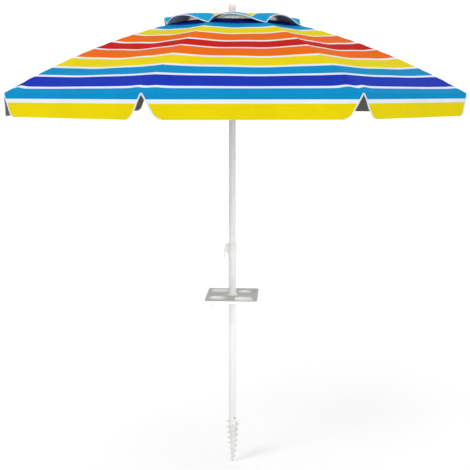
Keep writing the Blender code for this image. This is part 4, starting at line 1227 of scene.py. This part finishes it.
@dataclass
class PoleSet:
    """The two tubes, the finial and the foot's screw anchor."""

    finishes: Finishes
    lower_radius: float = 0.0165
    upper_radius: float = 0.0150
    wall: float = 0.0010
    tube_ease: float = 0.3 * MM
    # The finial: the edge and the waist of its outline as a share of its radius with a height.
    finial_radius: float = 0.0165
    finial_height: float = 0.037
    finial_lip: float = 0.003
    finial_dome: float = 0.012
    finial_edge: Pair = (0.80, 0.4 * MM)
    finial_waist: Pair = (0.86, 5.5 * MM)
    finial_ease: float = 6.0 * MM
    stud: float = 0.0050
    # The anchor's core: length of its straight collar, radius near its point and gap round its spigot.
    collar: float = 0.012
    point: float = 0.0040
    spigot_fit: float = 0.0003
    core_ease: float = 1.5 * MM
    core_sides: int = 48
    # The flight: turns, rise of one turn, depth of its start, first and last radius, thickness and run-in.
    turns: float = 7.6
    pitch: float = 0.0254
    start: float = 0.0041
    flight: Pair = (0.0325, 0.0140)
    blade: float = 0.0042
    lead: float = 0.35
    root: float = 0.8
    # Its section: half its thickness at the rim as a share of the blade, and its rounding.
    rim: float = 0.24
    rim_ease: float = 0.16
    flight_steps: int = 380

    def tube_mesh(self, node: str, radius: float) -> Mesh:
        """A drawn tube as long as its CAD node: a wall's rounded outline, turned about the pole.

        Args:
            node: the CAD node that gives the ends.
            radius: outside radius.

        Returns:
            The mesh.
        """
        low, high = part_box(node)
        inner = radius - self.wall
        seam = (inner, high[2] - 4.0 * MM)
        return turned_mesh(node, eased([seam, (inner, high[2]), (radius, high[2]), (radius, low[2]),
                                        (inner, low[2]), seam], self.tube_ease, 4))

    def finial_mesh(self) -> Mesh:
        """The knob on top: a rounded cylinder with a waist and a lip, turned about the pole.

        Returns:
            The mesh.
        """
        low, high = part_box("finial")
        top, base, r = high[2], high[2] - self.finial_height, self.finial_radius
        lip = r + self.finial_lip
        (edge, drop), (waist, rise) = self.finial_edge, self.finial_waist
        return turned_mesh("finial_knob", eased([
            (0.0, top), (edge * r, top - drop), (r, top - self.finial_dome), (r, base + self.finial_dome),
            (waist * r, base + rise), (lip, base + self.finial_lip), (lip, base), (self.stud, base),
            (self.stud, low[2]), (0.0, low[2])], self.finial_ease, 8))

    def anchor_mesh(self) -> Mesh:
        """The anchor: a tapered core with one right-hand flight whose radius shrinks towards the point.

        The flight is a tapered section carried down a helix.  The section runs from inside the core, at
        nought, to the flight's radius, at one, and that radius grows out of the core over the run-in.

        Returns:
            The mesh.
        """
        low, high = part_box("sand_anchor")
        length, shoulder = -low[2], self.lower_radius
        spigot, neck = shoulder - self.wall - self.spigot_fit, length - 2.0 * self.point
        core = eased([(0.0, high[2]), (spigot, high[2]), (spigot, 0.0), (shoulder, 0.0),
                      (shoulder, -self.collar), (self.point, -neck), (0.0, -length)], self.core_ease)
        turn = np.linspace(0.0, self.turns, self.flight_steps)
        depth = self.start + self.pitch * turn
        taper = np.clip((depth - self.collar) / (neck - self.collar), 0.0, 1.0)
        stem = shoulder + (self.point - shoulder) * taper
        lead = np.clip(turn / self.lead, 0.0, 1.0)
        tip = self.flight[0] + (self.flight[1] - self.flight[0]) * turn / self.turns
        reach = np.maximum(stem + MM, tip * lead + stem * (1.0 - lead))
        angle = -math.pi / 2.0 - FULL_TURN * turn
        out = np.stack((np.cos(angle), np.sin(angle), 0.0 * angle), -1)
        section = eased([(0.0, 0.5), (1.0, self.rim), (1.0, -self.rim), (0.0, -0.5)], self.rim_ease)
        root = self.root * stem[:, None]
        a = root + (reach[:, None] - root) * section[None, :, 0]
        grid = a[..., None] * out[:, None] + self.blade * section[None, :, 1:2] * UP
        grid[..., 2] -= depth[:, None]
        made = SurfaceSet()
        made.add(turned(core, self.core_sides), wrap=True, flip=True)
        made.add(grid)
        for end, flip in ((0, True), (-1, False)):
            made.add(np.stack((grid[end], np.broadcast_to(grid[end].mean(0), grid[end].shape)), 0), flip=flip)
        return made.mesh("screw_anchor")

    def dress(self) -> None:
        """Paint the tubes and the pieces in and on them."""
        paint, plastic = self.finishes.tube.build(), self.finishes.plastic.build()
        for name, radius in (("lower", self.lower_radius), ("upper", self.upper_radius)):
            node = f"{name}_pole"
            mesh = self.tube_mesh(node, radius)
            place_piece(f"{name}_tube", mesh, [paint], node, "white_painted_tube", node)
        place_piece("finial_knob", self.finial_mesh(), [plastic], "upper_pole", "white_plastic", "finial")
        place_piece("screw_anchor", self.anchor_mesh(), [plastic], "lower_pole", "anchor_plastic",
                    "sand_anchor")
        softened("anchor_screw", self.finishes.screw.build(), "screw_steel", 0.2)
        softened("pole_bush", self.finishes.acetal.build(), "dark_plastic", 0.3)


@dataclass
class Mechanism:
    """The folding frame under the cloth, the flip lock and the other moulded pieces."""

    finishes: Finishes
    ribs: RibLine
    # Moulded pieces with the rounding of their edges in millimetres.
    moulded: tuple[tuple[str, float], ...] = (("hub", 0.5), ("runner", 0.5), ("clamp_collar", 0.6),
                                              ("clamp_lever", 0.9), ("tray_collet", 0.5))
    wires: tuple[str, ...] = ("hub_ring", "lever_pin", "runner_catch")

    def dress(self) -> None:
        """Finish every piece of the frame."""
        plastic = self.finishes.plastic.build()
        nylon, wire = self.finishes.nylon.build(), self.finishes.wire.build()
        rod, zinc = self.finishes.fibreglass.build(), self.finishes.zinc.build()
        for node, edge_mm in self.moulded:
            softened(node, plastic, "white_plastic", edge_mm)
        for node in self.wires:
            softened(node, wire, "wire_steel", 0.2)
        for number in self.ribs.numbers:
            softened(f"rib_{number}", rod, "rib_fibreglass", 0.7)
            softened(f"rib_tip_{number}", plastic, "white_plastic", 0.3)
            softened(f"rib_bracket_{number}", nylon, "grey_plastic", 0.3)
            softened(f"stretcher_{number}", zinc, "stretcher_steel", 0.5)


@dataclass
class Tray:
    """The snack tray: a moulded plate with two round and two square wells, as a height over its plan."""

    finishes: Finishes
    width: float = 0.230
    length: float = 0.287
    corner: float = 0.016
    wall: float = 0.0025
    skirt: float = 0.010
    # Place, radius and depth of a round well, and place, side, corner and depth of a square one.
    cup: Pair = (0.062, 0.070)
    cup_radius: float = 0.0365
    cup_depth: float = 0.034
    bin: Pair = (0.055, 0.088)
    bin_side: float = 0.080
    bin_corner: float = 0.014
    bin_depth: float = 0.018
    draft: float = 0.006
    # The boss round the pole, with a low lip on the deck and a foot under it.
    bore: float = 0.0194
    boss_wall: float = 0.0030
    boss_drop: float = 0.022
    lip: float = 0.0010
    foot: float = 0.003
    pitch: float = 0.0016
    # Faces this near the top are the deck, which takes the greyer painted-shade finish; rounding of the skirt, as
    # a share of it, and of the boss.
    painted_shade_band: float = 0.2 * MM
    skirt_ease: float = 0.12
    boss_ease: float = 0.8 * MM

    @property
    def deck(self) -> float:
        """Height of the tray's top."""
        return float(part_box("tray")[1][2])

    def height(self, x: Array, y: Array, grow: float) -> Array:
        """Depth of the wells: a smooth step of the distance inside their outlines, over a drafted wall.

        Args:
            x: across the tray.
            y: along the tray.
            grow: how far the wells' walls stand outside the inner face.

        Returns:
            Height from the deck, nought or less.
        """
        made = np.zeros_like(x)
        for sign in (-1.0, 1.0):
            inside = self.cup_radius + grow - np.hypot(x - sign * self.cup[0], y - sign * self.cup[1])
            made = np.minimum(made, -self.cup_depth * smooth_step(inside / self.draft))
            dx = np.abs(x + sign * self.bin[0]) - self.bin_side / 2.0 - grow + self.bin_corner
            dy = np.abs(y - sign * self.bin[1]) - self.bin_side / 2.0 - grow + self.bin_corner
            outside = np.hypot(np.maximum(dx, 0.0), np.maximum(dy, 0.0)) + np.minimum(np.maximum(dx, dy), 0.0)
            made = np.minimum(made, -self.bin_depth * smooth_step((self.bin_corner - outside) / self.draft))
        return made

    def plan(self) -> tuple[Array, Array]:
        """The plan: a grid whose corner squares are each mapped to a quarter disc.

        Returns:
            X and Y of the grid.
        """
        x, y = np.meshgrid(*(np.linspace(-0.5, 0.5, int(side / self.pitch) + 1) * side
                             for side in (self.width, self.length)), indexing="ij")
        p = np.clip((np.abs(x) - self.width / 2.0) / self.corner + 1.0, 0.0, 1.0)
        q = np.clip((np.abs(y) - self.length / 2.0) / self.corner + 1.0, 0.0, 1.0)
        x = x + np.sign(x) * self.corner * p * (np.sqrt(1.0 - q**2 / 2.0) - 1.0)
        y = y + np.sign(y) * self.corner * q * (np.sqrt(1.0 - p**2 / 2.0) - 1.0)
        return x, y

    def mesh(self) -> Mesh:
        """Top, underside, skirt and boss of the tray in one mesh; the deck's faces take slot 1, the greyer finish
        that paints shade on them.

        Returns:
            The mesh.
        """
        x, y = self.plan()
        deck, under_deck = self.deck, self.deck - self.wall
        top = np.stack((x, y, deck + self.height(x, y, 0.0)), -1)
        shrink = 1.0 - 2.0 * self.wall / self.width
        under = np.stack((x * shrink, y * shrink, under_deck + self.height(x, y, self.wall)), -1)
        centre = 0.25 * (top[:-1, :-1] + top[1:, :-1] + top[1:, 1:] + top[:-1, 1:])
        hole = np.hypot(centre[..., 0], centre[..., 1]) < self.bore + MM
        made = SurfaceSet()
        # The deck's flat top takes slot 1: the same plastic, greyer as painted shade.
        made.add(top, slot=(centre[..., 2] > deck - self.painted_shade_band).astype(int), skip=hole)
        made.add(under, skip=hole, flip=True)
        edge, inset = (np.concatenate((face[:-1, 0], face[-1, :-1], face[:0:-1, -1], face[0, :0:-1]))
                       for face in (top, under))
        share = eased([(0.0, 0.0), (0.0, 1.0), (1.0, 1.0), (1.0, self.wall / self.skirt)], self.skirt_ease)
        skirt = edge[None] * (1.0 - share[:, :1, None]) + inset[None] * share[:, :1, None]
        skirt[..., 2] = deck - self.skirt * share[:, 1:2]
        made.add(skirt, wrap=True, flip=True)
        rim, low = self.bore + self.boss_wall, deck - self.boss_drop
        foot, seam = rim + self.foot, (self.bore, deck + self.lip)
        profile = eased([seam, (foot - MM, deck + self.lip), (foot, deck - 0.5 * MM), (foot, under_deck),
                         (rim, under_deck - self.foot), (rim, low), (self.bore, low), seam],
                        self.boss_ease, 4)
        made.add(turned(profile), wrap=True, flip=True)
        return made.mesh("tray_moulding")

    def dress(self) -> None:
        """Make the tray in its plastic, with painted shade on the deck's flat top."""
        finishes = [self.finishes.tray.build(), self.finishes.deck.build()]
        place_piece("tray_moulding", self.mesh(), finishes, "tray", "tray_plastic", "tray")


@dataclass(frozen=True)
class Lamp:
    """A square soft light that looks at the pole.

    Attributes:
        name: the light's name.
        place: its middle.
        aim_height: height on the pole that it looks at.
        size: side of the square.
        power: in watts.
        spread: full angle of its beam.
    """

    name: str
    place: Vector
    aim_height: float
    size: float
    power: float
    spread: float = math.pi

    def build(self) -> None:
        """Hang the light: tilted from straight down by the angle to its aim, then turned about Z."""
        data = bpy.data.lights.new(self.name, "AREA")
        data.size = self.size
        data.energy = self.power
        data.spread = self.spread
        light = linked(self.name, data)
        x, y, z = self.place
        light.location = self.place
        tilt = math.atan2(math.hypot(x, y), z - self.aim_height)
        light.rotation_euler = Euler((tilt, 0.0, math.atan2(x, -y)))


@dataclass
class Studio:
    """Floor, lights and the camera at the photo's viewpoint."""

    distance: float = 4.158
    eye_height: float = 1.475
    azimuth: float = math.radians(3.0)
    pitch: float = math.radians(8.507)
    aim_right: float = math.radians(0.1635)
    lens_mm: float = 72.46
    sensor_mm: float = 36.0
    floor_radius: float = 40.0
    floor_gap: float = 0.002
    floor_patch_mm: float = 1000.0 / 1.5
    floor_glow: float = 0.08
    floor_roughness: float = 0.9
    floor_gloss: float = 0.1
    floor_sides: int = 48
    # Brightness of the room at places across it, nought on the left and one on the right, the ends first.
    room: tuple[Pair, ...] = ((0.0, 0.10), (1.0, 0.55), (0.22, 0.6), (0.36, 1.0), (0.64, 1.0))
    room_strength: float = 1.12
    lamps: tuple[Lamp, ...] = (
        Lamp("key", (-3.3, -3.6, 4.4), 0.9, 2.0, 97.0),
        Lamp("low_fill", (1.7, -2.7, 0.95), 0.62, 0.9, 0.8, math.radians(34.0)))

    def build(self) -> None:
        """Lay the floor, light it and set the camera."""
        self.floor()
        self.lights()
        data = bpy.data.cameras.new("camera")
        data.lens = self.lens_mm
        data.sensor_width = self.sensor_mm
        camera = linked("camera", data)
        camera.location = (self.distance * math.sin(self.azimuth), -self.distance * math.cos(self.azimuth),
                           self.eye_height)
        camera.rotation_euler = Euler((math.pi / 2.0 - self.pitch, 0.0, self.azimuth - self.aim_right))
        bpy.context.scene.camera = camera
        bpy.context.scene.view_settings.view_transform = "Standard"

    def floor(self) -> None:
        """A floor just under the anchor's point."""
        # Matt white board that glows faintly, so that it runs into the white room without a horizon.
        material, tree, shader = empty_material("pale_studio_floor")
        mottle = noise(tree, object_place(tree), self.floor_patch_mm)
        feed(tree, shader, {"Base Color": mixed(tree, mottle, srgb(WHITE), srgb("#FCFCFC")),
                            "Roughness": self.floor_roughness, "Specular IOR Level": self.floor_gloss,
                            "Emission Color": srgb(WHITE), "Emission Strength": self.floor_glow})
        level = CAD_BOX[0][2] - self.floor_gap
        ground = SurfaceSet()
        ground.add(turned(np.array([(0.0, level), (self.floor_radius, level)]), self.floor_sides), wrap=True)
        floor = linked("floor", ground.mesh("floor"))
        floor.data.materials.append(material)

    def lights(self) -> None:
        """A room that looks white and lights from dimmer sides, with a high key lamp and a low fill."""
        world = bpy.data.worlds.new("studio")
        world.use_nodes = True
        tree = world.node_tree
        place = add_node(tree, "TexCoord", {}).outputs["Generated"]
        across = add_node(tree, "SeparateXYZ", {"Vector": place}).outputs["X"]
        ramp = add_node(tree, "ValToRGB", {"Fac": ranged(tree, across, (0.0, 1.0), (-1.0, 1.0))})
        steps = ramp.color_ramp.elements
        made = [steps[0], steps[1], *(steps.new(at) for at, _ in self.room[2:])]
        for step, (at, level) in zip(made, self.room):
            step.position = at
            step.color = (level, level, level, 1.0)
        seen = add_node(tree, "LightPath", {}).outputs["Is Camera Ray"]
        feed(tree, tree.nodes["Background"], {"Color": mixed(tree, seen, ramp.outputs["Color"], srgb(WHITE)),
                                              "Strength": self.room_strength})
        bpy.context.scene.world = world
        for lamp in self.lamps:
            lamp.build()


def main() -> None:
    """Build the umbrella's looks piece by piece."""
    logging.basicConfig(level=logging.INFO, format="%(name)s: %(message)s")
    finishes, ribs = Finishes(), RibLine()
    canopy = Canopy(ribs)
    Studio().build()
    canopy.dress()
    VentCover(ribs, canopy).dress()
    PoleSet(finishes).dress()
    Mechanism(finishes, ribs).dress()
    Tray(finishes).dress()


if __name__ == "__main__":
    main()
